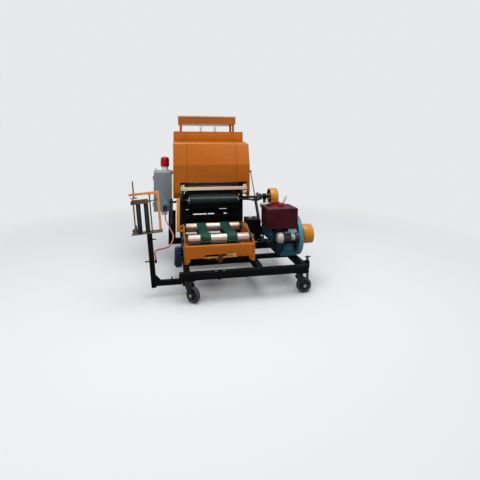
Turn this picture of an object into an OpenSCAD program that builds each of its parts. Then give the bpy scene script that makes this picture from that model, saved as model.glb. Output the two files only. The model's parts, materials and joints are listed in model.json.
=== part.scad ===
// Stationary round baler with a bale wrapping table, a film stand and its own diesel engine.
// It stands on four casters. X runs to the engine side, Y to the feed side, Z up.
// Places are measured from the machine's centre line and, along Y, from the turntable's axis at
// floor level. The finished model is moved so that its origin is the middle of its footprint.

/* [Base frame] */
// Left side of the main rails, from the centre line
frame_left = 392; // [386:1:400]
// Right side of the engine's rail, from the centre line
frame_right = 910; // [900:1:914]
// Left end of the front beam, from the centre line
beam_left = 440; // [430:5:460]
// Front face of the frame, ahead of the turntable axis
frame_front = 460; // [450:5:500]
// Rear face of the frame, behind the turntable axis
frame_rear = 1800; // [1780:10:1900]
// Width of each rail
rail_w = 60; // [50:2:64]
// Depth of each rail
rail_h = 75; // [60:5:80]
// Height of the top of the rails
deck_z = 300; // [290:2:304]
// Length of the outer rail under the engine and drive
engine_rail_l = 1910; // [1850:10:1950]
// Height of the bearers that carry the engine
bearer_h = 45; // [40:1:50]

/* [Casters] */
// Diameter of a caster wheel
wheel_d = 160; // [140:2:166]
// Width of a caster tyre
wheel_w = 45; // [38:1:50]
// Distance from the swivel axis to the wheel's axle
trail = 45; // [35:1:50]
// Diameter of the axle
axle_d = 16; // [12:1:20]
// Diameter of the swivel head
race_d = 76; // [60:2:84]
// Side of the square top plate
top_plate = 110; // [96:2:120]

/* [Wrapping table] */
// Turntable's axis, left of the centre line
table_x = 26; // [15:1:35]
// Half the width of the table
table_half = 360; // [350:2:364]
// Reach of the table's front beam, ahead of the axis
table_front = 425; // [400:5:430]
// Reach of the table's rear beam, behind the axis
table_rear = 335; // [320:5:345]
// Height of the underside of the table frame
table_z = 392; // [385:1:400]
// Height of the rollers' axes
roller_z = 585; // [580:1:600]
// Distance between the two rollers' axes
roller_gap = 550; // [500:10:570]
// Diameter of a table roller
roller_d = 98; // [84:2:100]
// Gap between a table roller and each ear
roller_side = 30; // [12:1:40]
// Width of a table belt
belt_w = 112; // [90:2:130]
// Distance between the middles of the two belts
belt_gap = 280; // [240:5:320]
// Sag of the belts' upper run
belt_sag = 22; // [10:1:30]
// Height of the guard post's top
post_top = 955; // [880:5:970]
// Height of the side ears' crest
ear_top = 668; // [656:2:690]

/* [Film stand] */
// Distance of the film post's foot, left of the turntable axis
film_x = 695; // [680:5:720]
// Distance of the film arm, ahead of the turntable axis
film_y = 200; // [190:5:215]
// Side of the square tubes
film_tube = 50; // [40:2:56]
// Height of the film arm's middle
film_arm_z = 132; // [125:1:140]
// Length of the film post
film_post_l = 540; // [510:2:560]
// Lean of the film post, outwards
film_lean = 4.9; // [3:0.1:7]
// Length of a stretcher roller
stretch_l = 290; // [270:5:300]
// Diameter of a stretcher roller
stretch_d = 46; // [40:1:52]
// Height of the head's upper arm above its plate
head_h = 412; // [400:2:430]

/* [Conveyor] */
// Width of the conveyor belt
conveyor_w = 620; // [560:5:624]
// Front end roller's axis, behind the turntable axis
conveyor_y0 = 548; // [545:1:560]
// Rear end roller's axis
conveyor_y1 = 1390; // [1330:10:1430]
// Height of the end rollers' axes
conveyor_z = 866; // [856:1:868]
// Diameter of the end rollers
conveyor_d = 96; // [90:1:100]

/* [Bale chamber] */
// Middle of the baler, right of the centre line
baler_x = 18; // [10:1:24]
// Middle of the chamber, behind the turntable axis
chamber_y = 1115; // [1110:1:1125]
// Height of the chamber's middle
chamber_z = 1272; // [1266:1:1276]
// Radius of the ring of rollers
ring_r = 310; // [304:1:314]
// Diameter of a chamber roller
bar_d = 80; // [70:1:84]
// Half the width between the chamber walls
wall_half = 350; // [345:1:352]
// Thickness of the chamber walls
wall_t = 8; // [6:1:10]
// Half the width over the covers
cover_half = 510; // [500:2:516]
// Thickness of the sheet covers
sheet = 4; // [3:0.5:5]
// Rear face of the baler, behind the turntable axis
baler_rear = 1700; // [1690:5:1720]

/* [Door] */
// Front face of the door, behind the turntable axis
door_front = 700; // [694:1:706]
// Lower edge of the door's middle
door_low = 1080; // [1070:2:1090]
// Lower edge of the door's side wings
wing_low = 870; // [864:2:880]
// Width of the door's left wing
wing_left = 87; // [76:1:92]
// Width of the door's right wing
wing_right = 41; // [34:1:48]
// Height where the front leans back
door_break = 1310; // [1300:2:1320]
// Height of the door's hinge
hinge_z = 1650; // [1646:1:1660]
// Hinge axis, behind the turntable axis
hinge_y = 1120; // [1116:1:1124]
// Diameter of the hinge pins
hinge_d = 20; // [16:1:24]
// Outer diameter of a door cylinder
barrel_d = 36; // [30:1:38]
// Diameter of a door cylinder's rod
piston_rod_d = 14; // [12:1:18]
// Length of a door cylinder's barrel below its pivot
barrel_l = 310; // [300:5:330]

/* [Hoods and feed] */
// Height of the upper hood's top
hood_top = 1773; // [1760:5:1790]
// Front of the twine box, behind the turntable axis
twine_y = 1350; // [1330:5:1370]
// Width of the twine box
twine_w = 860; // [800:10:900]
// Depth of the twine box
twine_l = 500; // [460:10:520]
// Floor of the twine box
twine_z0 = 1896; // [1876:2:1910]
// Rim of the twine box
twine_z1 = 2020; // [2000:5:2050]
// Mouth of the feed hopper, behind the turntable axis
hopper_y = 2250; // [2150:10:2350]
// Reach of the feed rotor's tines
tine_r = 140; // [120:2:146]
// Feed rotor's axis, behind the turntable axis
rotor_y = 1600; // [1590:2:1610]

/* [Engine and drive] */
// Crankshaft's axis, ahead of the turntable axis
crank_y = 70; // [60:2:80]
// Height of the crankshaft
crank_z = 538; // [536:1:548]
// Diameter of the flywheel
flywheel_d = 458; // [440:2:460]
// Width of both pulleys
pulley_w = 120; // [100:2:122]
// Width of the flywheel's rim
flywheel_w = 50; // [40:1:50]
// Gap between the flywheel and the engine's pulley
pulley_gap = 51; // [45:1:56]
// Diameter of the engine pulley
engine_pulley_d = 220; // [200:5:240]
// Diameter of the baler's pulley
baler_pulley_d = 250; // [220:5:270]
// Diameter of both drive shafts
shaft_d = 40; // [34:1:44]
// Height of the baler's drive shaft
shaft_z = 790; // [780:2:796]
// Baler's drive shaft, behind the turntable axis
shaft_y = 1250; // [1240:2:1260]

/* [Cabinet] */
// Width of the control cabinet
cabinet_w = 243; // [230:1:243]
// Depth of the control cabinet
cabinet_d = 200; // [180:5:210]
// Underside of the control cabinet
cabinet_z0 = 680; // [670:5:690]
// Top of the control cabinet
cabinet_z1 = 1225; // [1180:5:1225]
// Front of the cabinet, behind the turntable axis
cabinet_y = 874; // [872:1:884]
// Left side of the cabinet, from the centre line
cabinet_left = 750; // [750:1:756]

/* [Hidden] */
$fn = 48;

// Clearances: a turning fit, a face beside a moving face, a soft gap and a swinging gap
fit = 0.05;
seat = 0.3;
gap = 5;

// Colours
ORANGE = [0.72, 0.36, 0.06];
BLACK = [0.05, 0.05, 0.05];
ZINC = [0.78, 0.74, 0.62];
GREEN = [0.0, 0.28, 0.2];
YELLOW = [0.85, 0.6, 0.05];
TEAL = [0.1, 0.32, 0.4];

// Drive, from the flywheel's outer face beside the engine's rail to the end of the crankshaft
flywheel_side = frame_right + 7;
shaft_nose = 8;
drive_reach = flywheel_side + pulley_gap + pulley_w + shaft_nose;

// Origin: the middle of the footprint
bar_end = 172;
caster_in = 55;
left_end = film_x + bar_end * cos(film_lean) + (film_post_l + head_h) * sin(film_lean);
rear_end = hopper_y;
front_end = frame_front - caster_in + (trail + wheel_d / 2 - 8 + wheel_w / 2) * sin(45);
mid_x = (drive_reach - left_end) / 2;
mid_y = (rear_end - front_end) / 2;

// Frame
left_rail = -frame_left + rail_w / 2;
mid_rail = 2 * baler_x - left_rail;
right_rail = frame_right - rail_w / 2;
frame_z = deck_z - rail_h;
bearer_z = deck_z + bearer_h;
// Front face of each cross member, then whether it fills the main bay and the engine's bay
CROSSES = [
    [-rail_w / 2, true, false], [480, true, true], [680, true, false], [1060, true, false],
    [engine_rail_l - frame_front - rail_w, false, true], [1530, true, false], [frame_rear - rail_w, true, false]
];
bearer_w = 50;
BEARERS = [-155, 325];
leg_x = frame_right + 45;
leg_y = -300;
leg_r = 13.5;

// Casters: x, y and heading of each
plate_t = 8;
FRONT_LEFT = [-335, -frame_front + caster_in, 45];
FRONT_RIGHT = [right_rail - caster_in, -frame_front + caster_in, 90];
REAR_LEFT = [left_rail + 25, frame_rear - caster_in, 0];
REAR_RIGHT = [right_rail - 10, engine_rail_l - frame_front - caster_in, 0];
CASTERS = [FRONT_LEFT, FRONT_RIGHT, REAR_LEFT, REAR_RIGHT];
wheel_r = wheel_d / 2;
crown_z = wheel_d + 12;
head_z = frame_z - plate_t - seat;
king_r = 10;
hub_w = wheel_w + 2 * gap;
leg_t = 6;

// Table
roller_y = roller_gap / 2;
roller_r = roller_d / 2;
roller_shaft_r = 15;
ear_x = table_half - 10;
ear_t = 8;
roller_half = ear_x - roller_side;
front_t = 6;
front_low = 430;
front_foot = 378;
foot_w = 40;
notch_half = 155;
notch_top = 462;
spindle_r = 25;
hub_top = table_z + 40;
side_top = table_z + 48;
beam_top = 550;
post_x = 54 + table_half;
post_y = 130;
belt_droop = 8;
post_w = 36;

// Film head: plate, stretcher rollers and roll spindle, from the post's top
head_t = 8;
stretch_y = -55;
STRETCH_X = [-83, -6];
stretch_pin = 8;
case_z = head_t + 2 * gap + stretch_l;
spindle_x = -130;
spindle_y = 50;
hose_fit = [41, [205, 243]];

// Level of the conveyor belt and the cheeks beside it
belt_t = 4;
conveyor_pin = 14;
side_x = conveyor_w / 2 + 20;
beam_x = 350;
beam_z = 870;
post_y0 = 680;

// The door opens from a line through its hinge
split_y0 = 1000;
function split_y(z) = hinge_y - (hinge_y - split_y0) * (hinge_z - z) / (hinge_z - 880);
ring_step = 20;
DOOR_BARS = [for (k = [-3 : 4]) k * ring_step];
FIXED_BARS = [for (k = [5, 6, 7, 11, 12, 13, 14]) k * ring_step];
function ring_y(a) = chamber_y - ring_r * cos(a);
function ring_z(a) = chamber_z + ring_r * sin(a);
stub_r = 12;
rotor_shaft_r = 20;
ledge_y = 786;
ledge_z = 1590;
shell_top = 1622;
hood_y = 1150;

// Door cylinders: each barrel swings on a trunnion at eye_low, and its rod's eye is at eye_top
barrel_x = cover_half + 25;
eye_top = [760, 1215];
eye_low = [475, 865];
eye_r = 8;
eye_half = 8;
rod_in = 25 - barrel_l;
cyl_len = norm(eye_top - eye_low);
cyl_tilt = atan2(eye_low[0] - eye_top[0], eye_top[1] - eye_low[1]);
lug_x = barrel_x - barrel_d / 2 - seat;
trunnion_l = 28;

// Engine
shaft_r = shaft_d / 2;
flywheel_x = flywheel_side - flywheel_w;
engine_x = [flywheel_x - 227, flywheel_x - 27];
tank_x = [523, flywheel_x - gap];
tank_y = [-260, 60];
tank_z = [650, 870];
starter_y = -262;
starter_z = 552;
starter_r = 42;
engine_pulley_x = [flywheel_side + pulley_gap, drive_reach - shaft_nose];
shaft_end_r = 17.5;
shaft_end_l = 24;
baler_pulley_x = [drive_reach - pulley_w - 25, drive_reach - 25];
hanger_x = baler_x + beam_x + rail_w;
crank_at = -crank_y;
crank_in = engine_x[0] + 120;

cabinet_x = -cabinet_left;
door_t = 18;
knuckle_r = 6;
knuckle = [cabinet_x - knuckle_r - 1, cabinet_y + door_t / 2];
column_x = [-556, -459];
column_y = [900, 960];
beacon_z = 58;
cabinet_hinges = [cabinet_z0 + 80, cabinet_z1 - 110];

// Hose from the box under the cabinet to the film post, both ends held
hose_r = 8;
HOSE = [
    [-600, 920, 630], [-600, 920, 617], [-600, 920, 604], [-592, 885, 560], [-568, 780, 535], [-530, 620, 500],
    [-493, 450, 440], [-532, 280, 380], [-590, 100, 405], [-652, -100, 450], [-686, -185, 453], [-678, -200, 414],
    [-675, -200, 378]
];

module placed() {
    translate([-mid_x, -mid_y, 0]) children();
}

module at_table() {
    placed() translate([-table_x, 0, 0]) children();
}

module at_baler() {
    placed() translate([baler_x, 0, 0]) children();
}

module box(x, y, z) {
    translate([x[0], y[0], z[0]]) cube([x[1] - x[0], y[1] - y[0], z[1] - z[0]]);
}

module both_sides() {
    children();
    mirror([1, 0, 0]) children();
}

module rod_x(r, x, y, z) {
    translate([x[0], y, z]) rotate([0, 90, 0]) cylinder(r = r, h = x[1] - x[0]);
}

module rod_z(r, x, y, z) {
    translate([x, y, z[0]]) cylinder(r = r, h = z[1] - z[0]);
}

// A sheet cut to an outline in Y and Z, spanning x
module plate_x(x) {
    translate([x[0], 0, 0]) rotate([90, 0, 90]) linear_extrude(x[1] - x[0]) children();
}

// A sheet cut to an outline in X and Z, spanning y
module plate_y(y) {
    translate([0, y[1], 0]) rotate([90, 0, 0]) linear_extrude(y[1] - y[0]) children();
}

// A sheet cut to an outline in X and Y, spanning z
module plate_z(z) {
    translate([0, 0, z[0]]) linear_extrude(z[1] - z[0]) children();
}

module at_caster(c) {
    placed() translate([c[0], c[1], 0]) rotate([0, 0, c[2]]) children();
}

module base_frame() color(BLACK) placed() {
    // Rails: middle of each and where it ends
    for (rail = [[left_rail, frame_rear], [mid_rail, frame_rear], [right_rail, engine_rail_l - frame_front]]) {
        box([rail[0] - rail_w / 2, rail[0] + rail_w / 2], [-frame_front + rail_w, rail[1]], [frame_z, deck_z]);
    }
}

module cross_members() color(BLACK) placed() {
    // The front beam runs past the left rail
    box([-beam_left, frame_right], [-frame_front, -frame_front + rail_w], [frame_z, deck_z]);
    for (c = CROSSES) {
        if (c[1]) {
            box([left_rail + rail_w / 2, mid_rail - rail_w / 2], [c[0], c[0] + rail_w], [frame_z, deck_z]);
        }
        if (c[2]) {
            box([mid_rail + rail_w / 2, right_rail - rail_w / 2], [c[0], c[0] + rail_w], [frame_z, deck_z]);
        }
    }
    // Outrigger of the cabinet's column
    box([column_x[1], -frame_left], column_y, [frame_z, deck_z]);
    // Bearers of the engine
    for (y = BEARERS) {
        box([mid_rail - 20, flywheel_x - gap], [y, y + bearer_w], [deck_z, bearer_z]);
    }
}

module base_brackets() color(BLACK) placed() {
    // Column of the cabinet, with its top plate
    box(column_x, column_y, [frame_z, cabinet_z0]);
    // Bracket of the film arm, under the left rail
    box([-frame_left, -frame_left + rail_w], [-film_y - 45, -film_y + 45],
        [film_arm_z - film_tube / 2 - 10, frame_z]);
    // Caster plates and king pins
    for (c = CASTERS) {
        box([c[0] - top_plate / 2, c[0] + top_plate / 2], [c[1] - top_plate / 2, c[1] + top_plate / 2],
            [frame_z - plate_t, frame_z]);
        rod_z(king_r, c[0], c[1], [head_z - 25, frame_z]);
    }
    // Levelling leg's sleeve
    difference() {
        union() {
            rod_z(24, leg_x, leg_y, [frame_z, deck_z]);
            box([frame_right, leg_x], [leg_y - 12, leg_y + 12], [frame_z, deck_z]);
        }
        rod_z(leg_r + fit, leg_x, leg_y, [frame_z - 1, deck_z + 1]);
    }
}

module caster_fork(c) color(BLACK) at_caster(c) difference() {
    union() {
        rod_z(race_d / 2, 0, 0, [crown_z, head_z]);
        box([-hub_w / 2 - leg_t, hub_w / 2 + leg_t], [-38, 38], [crown_z, crown_z + leg_t]);
        both_sides() plate_x([hub_w / 2, hub_w / 2 + leg_t]) {
            polygon([[-38, crown_z + 3], [38, crown_z + 3], [34, crown_z - 20],
                     [-trail + 15, wheel_r - 6], [-trail - 15, wheel_r + 6], [-36, crown_z - 20]]);
            translate([-trail, wheel_r]) circle(r = 16);
        }
        rod_x(axle_d / 2, [-hub_w / 2 - leg_t - 8, hub_w / 2 + leg_t + 8], -trail, wheel_r);
    }
    rod_z(king_r + fit, 0, 0, [head_z - 26, head_z + 1]);
}

module caster_wheel(c) color(BLACK) at_caster(c) translate([0, -trail, wheel_r]) rotate([0, 90, 0]) {
    rotate_extrude($fn = 64) polygon([
        [axle_d / 2 + fit, -hub_w / 2 + seat], [20, -hub_w / 2 + seat], [20, -8], [wheel_r - 26, -8],
        [wheel_r - 24, -wheel_w / 2 + 3], [wheel_r - 8, -wheel_w / 2], [wheel_r, -wheel_w / 2 + 9],
        [wheel_r, wheel_w / 2 - 9], [wheel_r - 8, wheel_w / 2], [wheel_r - 24, wheel_w / 2 - 3],
        [wheel_r - 26, 8], [20, 8], [20, hub_w / 2 - seat], [axle_d / 2 + fit, hub_w / 2 - seat]
    ]);
}

module levelling_leg() color(BLACK) placed() {
    rod_z(leg_r, leg_x, leg_y, [30, 350]);
    rod_z(22, leg_x, leg_y, [30, 38]);
    rod_x(6, [leg_x - 28, leg_x + 36], leg_y, 340);
}

module table_bearing() color(BLACK) at_table() {
    rod_z(140, 0, 0, [deck_z, deck_z + 12]);
    rod_z(75, 0, 0, [deck_z, table_z - 20 - seat]);
    rod_z(spindle_r, 0, 0, [deck_z, hub_top - 10]);
}

// Drive of the turntable, on the left rail's outer face: gearbox below, motor upright
module gearmotor() color([0.08, 0.2, 0.45]) placed() {
    motor_r = 44;
    motor_x = -frame_left - motor_r - seat;
    motor_y = 248;
    box([motor_x - 32, -frame_left], [motor_y - 58, motor_y + 57], [150, 268]);
    rod_z(motor_r + 4, motor_x, motor_y, [150 + 10, deck_z - 76]);
    rod_z(motor_r, motor_x, motor_y, [deck_z - 76, 352]);
    rod_z(motor_r - 6, motor_x, motor_y, [352, 366]);
    rod_z(14, motor_x, motor_y, [130, 150]);
}

module table_frame() color(ORANGE) at_table() difference() {
    union() {
        // Hub and arms
        rod_z(90, 0, 0, [table_z - 20, table_z]);
        rod_z(50, 0, 0, [table_z - 20, hub_top]);
        box([-table_half, table_half], [-35, 35], [table_z, hub_top]);
        both_sides() box([ear_x - 45, table_half], [-table_front, table_rear], [table_z, side_top]);
        box([-table_half, table_half], [table_rear - 45, table_rear], [table_z, side_top + 25]);
        // Front plate with a notch in its lower edge, a foot at each end and a tab in the middle
        plate_y([-table_front, -table_front + front_t]) {
            both_sides() polygon([
                [0, notch_top], [notch_half, notch_top], [notch_half + 14, front_low],
                [table_half - foot_w - 6, front_low], [table_half - foot_w, front_foot],
                [table_half, front_foot], [table_half, beam_top], [0, beam_top]
            ]);
            polygon([[-27, notch_top + 1], [27, notch_top + 1], [20, front_foot], [-20, front_foot]]);
        }
        // Its flanges: one along the top, one along the lower edge on each side of the notch
        box([-table_half, table_half], [-table_front, -table_front + 50], [beam_top - front_t, beam_top]);
        box([-table_half, table_half], [-table_front + 50 - front_t, -table_front + 50], [500, beam_top]);
        both_sides() box([notch_half + 14, table_half - foot_w - 6], [-table_front, -table_front + 40],
                         [front_low, front_low + front_t]);
        // Ears that keep the bale on the rollers
        both_sides() plate_x([ear_x, ear_x + ear_t]) {
            polygon([[-table_front + 10, side_top - 5], [-table_front + 10, beam_top],
                     [-roller_y - 60, roller_z + 10], [-roller_y, roller_z + 38],
                     [-roller_y + 70, roller_z + 20], [-90, ear_top - 22], [-30, ear_top], [60, ear_top],
                     [roller_y - 90, ear_top - 18], [roller_y, roller_z + 38],
                     [roller_y + 40, roller_z + 10], [table_rear - 5, side_top - 5]]);
        }
        both_sides() for (y = [-roller_y, roller_y]) {
            rod_x(32, [ear_x, table_half], y, roller_z);
        }
    }
    both_sides() for (y = [-roller_y, roller_y]) {
        rod_x(roller_shaft_r + fit, [ear_x - 1, table_half + 1], y, roller_z);
    }
    rod_z(spindle_r + fit, 0, 0, [table_z - 21, hub_top - 8]);
}

// Post outside the left ear, with a hook at its foot
module guard_post() color(ORANGE) at_table() {
    foot_z = 575;
    box([-post_x - post_w / 2, -post_x + post_w / 2], [post_y - post_w / 2, post_y + post_w / 2], [foot_z, post_top]);
    box([-post_x, -ear_x - ear_t], [post_y - 10, post_y + 10], [foot_z, foot_z + 25]);
    plate_y([post_y - post_w / 2, post_y - post_w / 2 + 8]) polygon([
        [-post_x, foot_z + 30], [-post_x + 44, foot_z + 60], [-post_x + 44, foot_z + 84], [-post_x + 34, foot_z + 84],
        [-post_x + 34, foot_z + 68], [-post_x, foot_z + 56]
    ]);
}

module table_roller(y) color(ZINC) at_table() {
    rod_x(roller_r, [-roller_half, roller_half], y, roller_z);
    rod_x(roller_shaft_r, [-table_half + seat, table_half - seat], y, roller_z);
}

// A slack belt round both rollers, in Y and Z: each run sags and leaves the rollers on a tangent
module belt_outline(r) {
    turns = 24;
    upper = atan(4 * belt_sag / roller_gap);
    lower = atan(4 * belt_droop / roller_gap);
    turn = [for (i = [0 : turns]) -upper + (180 - lower + upper) * i / turns];
    arc_rear = [for (a = turn) [roller_y + r * sin(a), roller_z + r * cos(a)]];
    arc_front = [for (i = [turns : -1 : 0]) [-arc_rear[i][0], arc_rear[i][1]]];
    low_y = arc_rear[turns][0];
    low_z = arc_rear[turns][1];
    top_y = arc_rear[0][0];
    top_z = arc_rear[0][1];
    under = [for (i = [1 : 9]) [low_y * (1 - i / 5), low_z - tan(lower) * 2 * low_y * i / 10 * (1 - i / 10)]];
    top = [for (i = [1 : 9]) [-top_y * (1 - i / 5), top_z - tan(upper) * 2 * top_y * i / 10 * (1 - i / 10)]];
    polygon(concat(arc_rear, under, arc_front, top));
}

module table_belts() color(GREEN) at_table() {
    for (x = [-belt_gap / 2, belt_gap / 2]) {
        plate_x([x - belt_w / 2, x + belt_w / 2]) difference() {
            belt_outline(roller_r + 2 * seat + belt_t);
            belt_outline(roller_r + 2 * seat);
        }
    }
}

// The film post's own frame: its foot at the arm, its top leaning outwards
module on_film_post() {
    placed() translate([-film_x, -film_y, film_arm_z]) rotate([0, -film_lean, 0]) children();
}

module film_stand() color(BLACK) {
    placed() {
        box([-film_x, -frame_left - 8], [-film_y - film_tube / 2 + 2, -film_y + film_tube / 2 - 2],
            [film_arm_z - film_tube / 2, film_arm_z + film_tube / 2]);
        box([-frame_left - 8, -frame_left], [-film_y - 45, -film_y + 45], [film_arm_z - 34, film_arm_z + 60]);
        rod_z(7, -510, -film_y, [film_arm_z, film_arm_z + 55]);
    }
    on_film_post() {
        box([-film_tube / 2, film_tube / 2], [-film_tube / 2, film_tube / 2], [-40, film_post_l]);
        plate_y([-4, 4]) polygon([[20, 10], [90, 6], [20, 92]]);
        // Clamp screws and the hose's fitting
        rod_x(6, [-70, 0], 0, 232);
        rod_x(6, [0, 62], 0, film_post_l - 86);
        rod_z(9, hose_fit[0], 0, hose_fit[1]);
        box([film_tube / 2 - 1, hose_fit[0]], [-5, 5], [hose_fit[1][0] + 8, hose_fit[1][0] + 24]);
    }
}

module film_head() color(ZINC) on_film_post() translate([0, 0, film_post_l]) difference() {
    union() {
        // Base plate, with a tab for the roll's spindle
        box([-166, 139], [-95, 15], [0, head_t]);
        box([spindle_x - 30, spindle_x + 30], [-1, spindle_y + 30], [0, head_t]);
        // Gear case over the stretcher rollers, on two tie rods
        box([-150, 20], [stretch_y - 35, stretch_y + 35], [case_z, case_z + 34]);
        box([-142, 12], [stretch_y - 28, stretch_y + 28], [case_z + 34, case_z + 40]);
        for (x = [-128, 36]) {
            rod_z(7, x, stretch_y, [0, case_z + 52]);
        }
        box([19, 52], [stretch_y - 8, stretch_y + 8], [case_z + 10, case_z + 22]);
    }
    for (x = STRETCH_X) {
        rod_z(stretch_pin + fit, x, stretch_y, [-1, case_z + 30]);
    }
    rod_z(stretch_pin + fit, spindle_x, spindle_y, [-1, head_t + 1]);
}

// Bent bar over the head, with the upper pin of the film roll
module film_bar() color(ORANGE) on_film_post() translate([0, 0, film_post_l]) {
    bar_t = 24;
    box([106, 106 + bar_t], [-bar_t / 2, bar_t / 2], [head_t, head_h]);
    box([-bar_end, 106 + bar_t], [-bar_t / 2, bar_t / 2], [head_h - bar_t, head_h]);
    box([spindle_x - 12, spindle_x + 12], [0, spindle_y + 12], [head_h - bar_t, head_h]);
    rod_z(7, spindle_x, spindle_y, [head_h - 60, head_h + 120]);
    rod_z(34, spindle_x, spindle_y, [head_h - 60, head_h - 52]);
    plate_y([-3, 3]) polygon([[107, head_h - 64], [107, head_h - bar_t + 1], [66, head_h - bar_t + 1]]);
}

module stretch_roller(x) color(BLACK) on_film_post() translate([0, 0, film_post_l]) {
    rod_z(stretch_d / 2, x, stretch_y, [head_t + gap, head_t + gap + stretch_l]);
    rod_z(stretch_pin, x, stretch_y, [1, case_z + 28]);
}

module film_spindle() color(ZINC) on_film_post() translate([0, 0, film_post_l + head_t + seat]) {
    translate([spindle_x, spindle_y, 0]) cylinder(r1 = 46, r2 = 34, h = 26);
    rod_z(stretch_pin, spindle_x, spindle_y, [-head_t - 14, 60]);
}

module baler_frame() color(BLACK) at_baler() {
    both_sides() {
        for (y = [[post_y0, post_y0 + rail_w], [1530, 1530 + rail_w]]) {
            box([beam_x, beam_x + rail_w], y, [deck_z, beam_z]);
        }
        box([beam_x, beam_x + rail_w], [post_y0, baler_rear], [beam_z - rail_w, beam_z]);
    }
    box([-beam_x, beam_x], [post_y0, post_y0 + rail_w], [588, 648]);
    box([-beam_x, beam_x], [1530, 1530 + rail_w], [580, 640]);
}

// Brackets on the baler's frame: one for each door cylinder, and the bearings of the drive shaft
module baler_brackets() color(BLACK) {
    at_baler() both_sides() difference() {
        union() {
            plate_z([eye_low[1] - 5, eye_low[1] + 5]) polygon([
                [beam_x, post_y0], [beam_x, eye_low[0] + 60], [lug_x - 40, eye_low[0] - 14], [lug_x, eye_low[0] - 14],
                [lug_x, eye_low[0] + 14], [beam_x + rail_w, post_y0]
            ]);
            rod_x(14, [lug_x - trunnion_l - 6, lug_x], eye_low[0], eye_low[1]);
        }
        rod_x(eye_r + fit, [lug_x - trunnion_l - seat, lug_x + 1], eye_low[0], eye_low[1]);
    }
    placed() difference() {
        union() {
            box([hanger_x, hanger_x + 22], [shaft_y - 50, shaft_y + 50], [shaft_z - 50, beam_z]);
            rod_x(44, [hanger_x, hanger_x + 30], shaft_y, shaft_z);
            // Pedestal on the engine's rail
            plate_x([right_rail - 10, right_rail + 10]) polygon([
                [shaft_y - 90, deck_z], [shaft_y + 90, deck_z], [shaft_y + 44, shaft_z], [shaft_y - 44, shaft_z]
            ]);
            box([right_rail - 30, right_rail + 30], [shaft_y - 90, shaft_y + 90], [deck_z, deck_z + 10]);
            rod_x(48, [right_rail - 24, right_rail + 24], shaft_y, shaft_z);
        }
        rod_x(shaft_r + fit, [hanger_x - 1, hanger_x + 31], shaft_y, shaft_z);
        rod_x(shaft_r + fit, [right_rail - 31, right_rail + 31], shaft_y, shaft_z);
    }
}

// Fixed half of a side wall behind the door's line
module fixed_side(low, high, lead) {
    polygon([[split_y(low) + lead, low], [baler_rear, low], [baler_rear, high], [split_y(high) + lead, high]]);
}

module chamber_walls() color(ORANGE) at_baler() {
    both_sides() difference() {
        plate_x([wall_half, wall_half + wall_t]) fixed_side(beam_z, shell_top, gap);
        for (a = FIXED_BARS) {
            rod_x(stub_r + fit, [wall_half - 1, wall_half + wall_t + 1], ring_y(a), ring_z(a));
        }
        rod_x(rotor_shaft_r + fit, [wall_half - 1, wall_half + wall_t + 1], rotor_y, chamber_z);
    }
}

module chamber_rollers() color(ZINC) at_baler() {
    for (a = FIXED_BARS) {
        rod_x(bar_d / 2, [-wall_half + gap, wall_half - gap], ring_y(a), ring_z(a));
        rod_x(stub_r, [-wall_half - wall_t, wall_half + wall_t], ring_y(a), ring_z(a));
    }
}

module drive_covers() color(ORANGE) at_baler() {
    both_sides() {
        plate_x([cover_half - sheet, cover_half]) fixed_side(beam_z, shell_top, gap);
        box([wall_half + wall_t, cover_half], [baler_rear - sheet, baler_rear], [beam_z, shell_top]);
        box([wall_half + wall_t, cover_half], [1020, baler_rear], [beam_z, beam_z + sheet]);
    }
}

// Outline of the upper hood in Y and Z, a sheet's thickness in from its faces where asked
module hood_side(in) {
    polygon([[hood_y + in, shell_top + sheet + in], [baler_rear - in, shell_top + sheet + in],
             [baler_rear - 20 - in, hood_top - in], [hood_y + 10 + in, hood_top - in]]);
}

module upper_hood() color(ORANGE) at_baler() {
    box([-cover_half, cover_half], [hood_y, baler_rear], [shell_top, shell_top + sheet]);
    plate_x([-cover_half + gap, cover_half - gap]) difference() {
        hood_side(0);
        hood_side(sheet);
    }
    both_sides() plate_x([cover_half - gap - sheet, cover_half - gap]) hood_side(0);
    // Hinge brackets and pins
    both_sides() {
        box([448, 458], [hinge_y - 14, hood_y + 2], [hinge_z - 14, hinge_z + 14]);
        rod_x(hinge_d / 2, [410, 458], hinge_y, hinge_z);
    }
}

module twine_box() color(ORANGE) at_baler() {
    difference() {
        box([-twine_w / 2, twine_w / 2], [twine_y, twine_y + twine_l], [twine_z0, twine_z1]);
        box([-twine_w / 2 + sheet, twine_w / 2 - sheet], [twine_y + sheet, twine_y + twine_l - sheet],
            [twine_z0 + sheet, twine_z1 + 1]);
    }
    // Rolled rim and four legs on the hood
    both_sides() box([twine_w / 2, twine_w / 2 + 8], [twine_y - 8, twine_y + twine_l + 8], [twine_z1 - 14, twine_z1]);
    for (y = [twine_y - 8, twine_y + twine_l]) {
        box([-twine_w / 2, twine_w / 2], [y, y + 8], [twine_z1 - 14, twine_z1]);
    }
    both_sides() for (y = [twine_y + 10, baler_rear - 80]) {
        box([twine_w / 2 - 50, twine_w / 2 - 20], [y, y + 30], [hood_top, twine_z0]);
    }
}

// Pair of eyes that lead the twine down through the hood
module twine_guides() color(ZINC) at_baler() {
    for (x = [-112, 96]) {
        box([x - 30, x + 30], [hood_y + 40, hood_y + 80], [hood_top, hood_top + 6]);
        box([x - 10, x + 10], [hood_y + 56, hood_y + 64], [hood_top, hood_top + 46]);
        translate([x, 0, hood_top + 60]) plate_y([hood_y + 54, hood_y + 66]) difference() {
            circle(r = 21);
            circle(r = 11);
        }
    }
}

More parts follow.
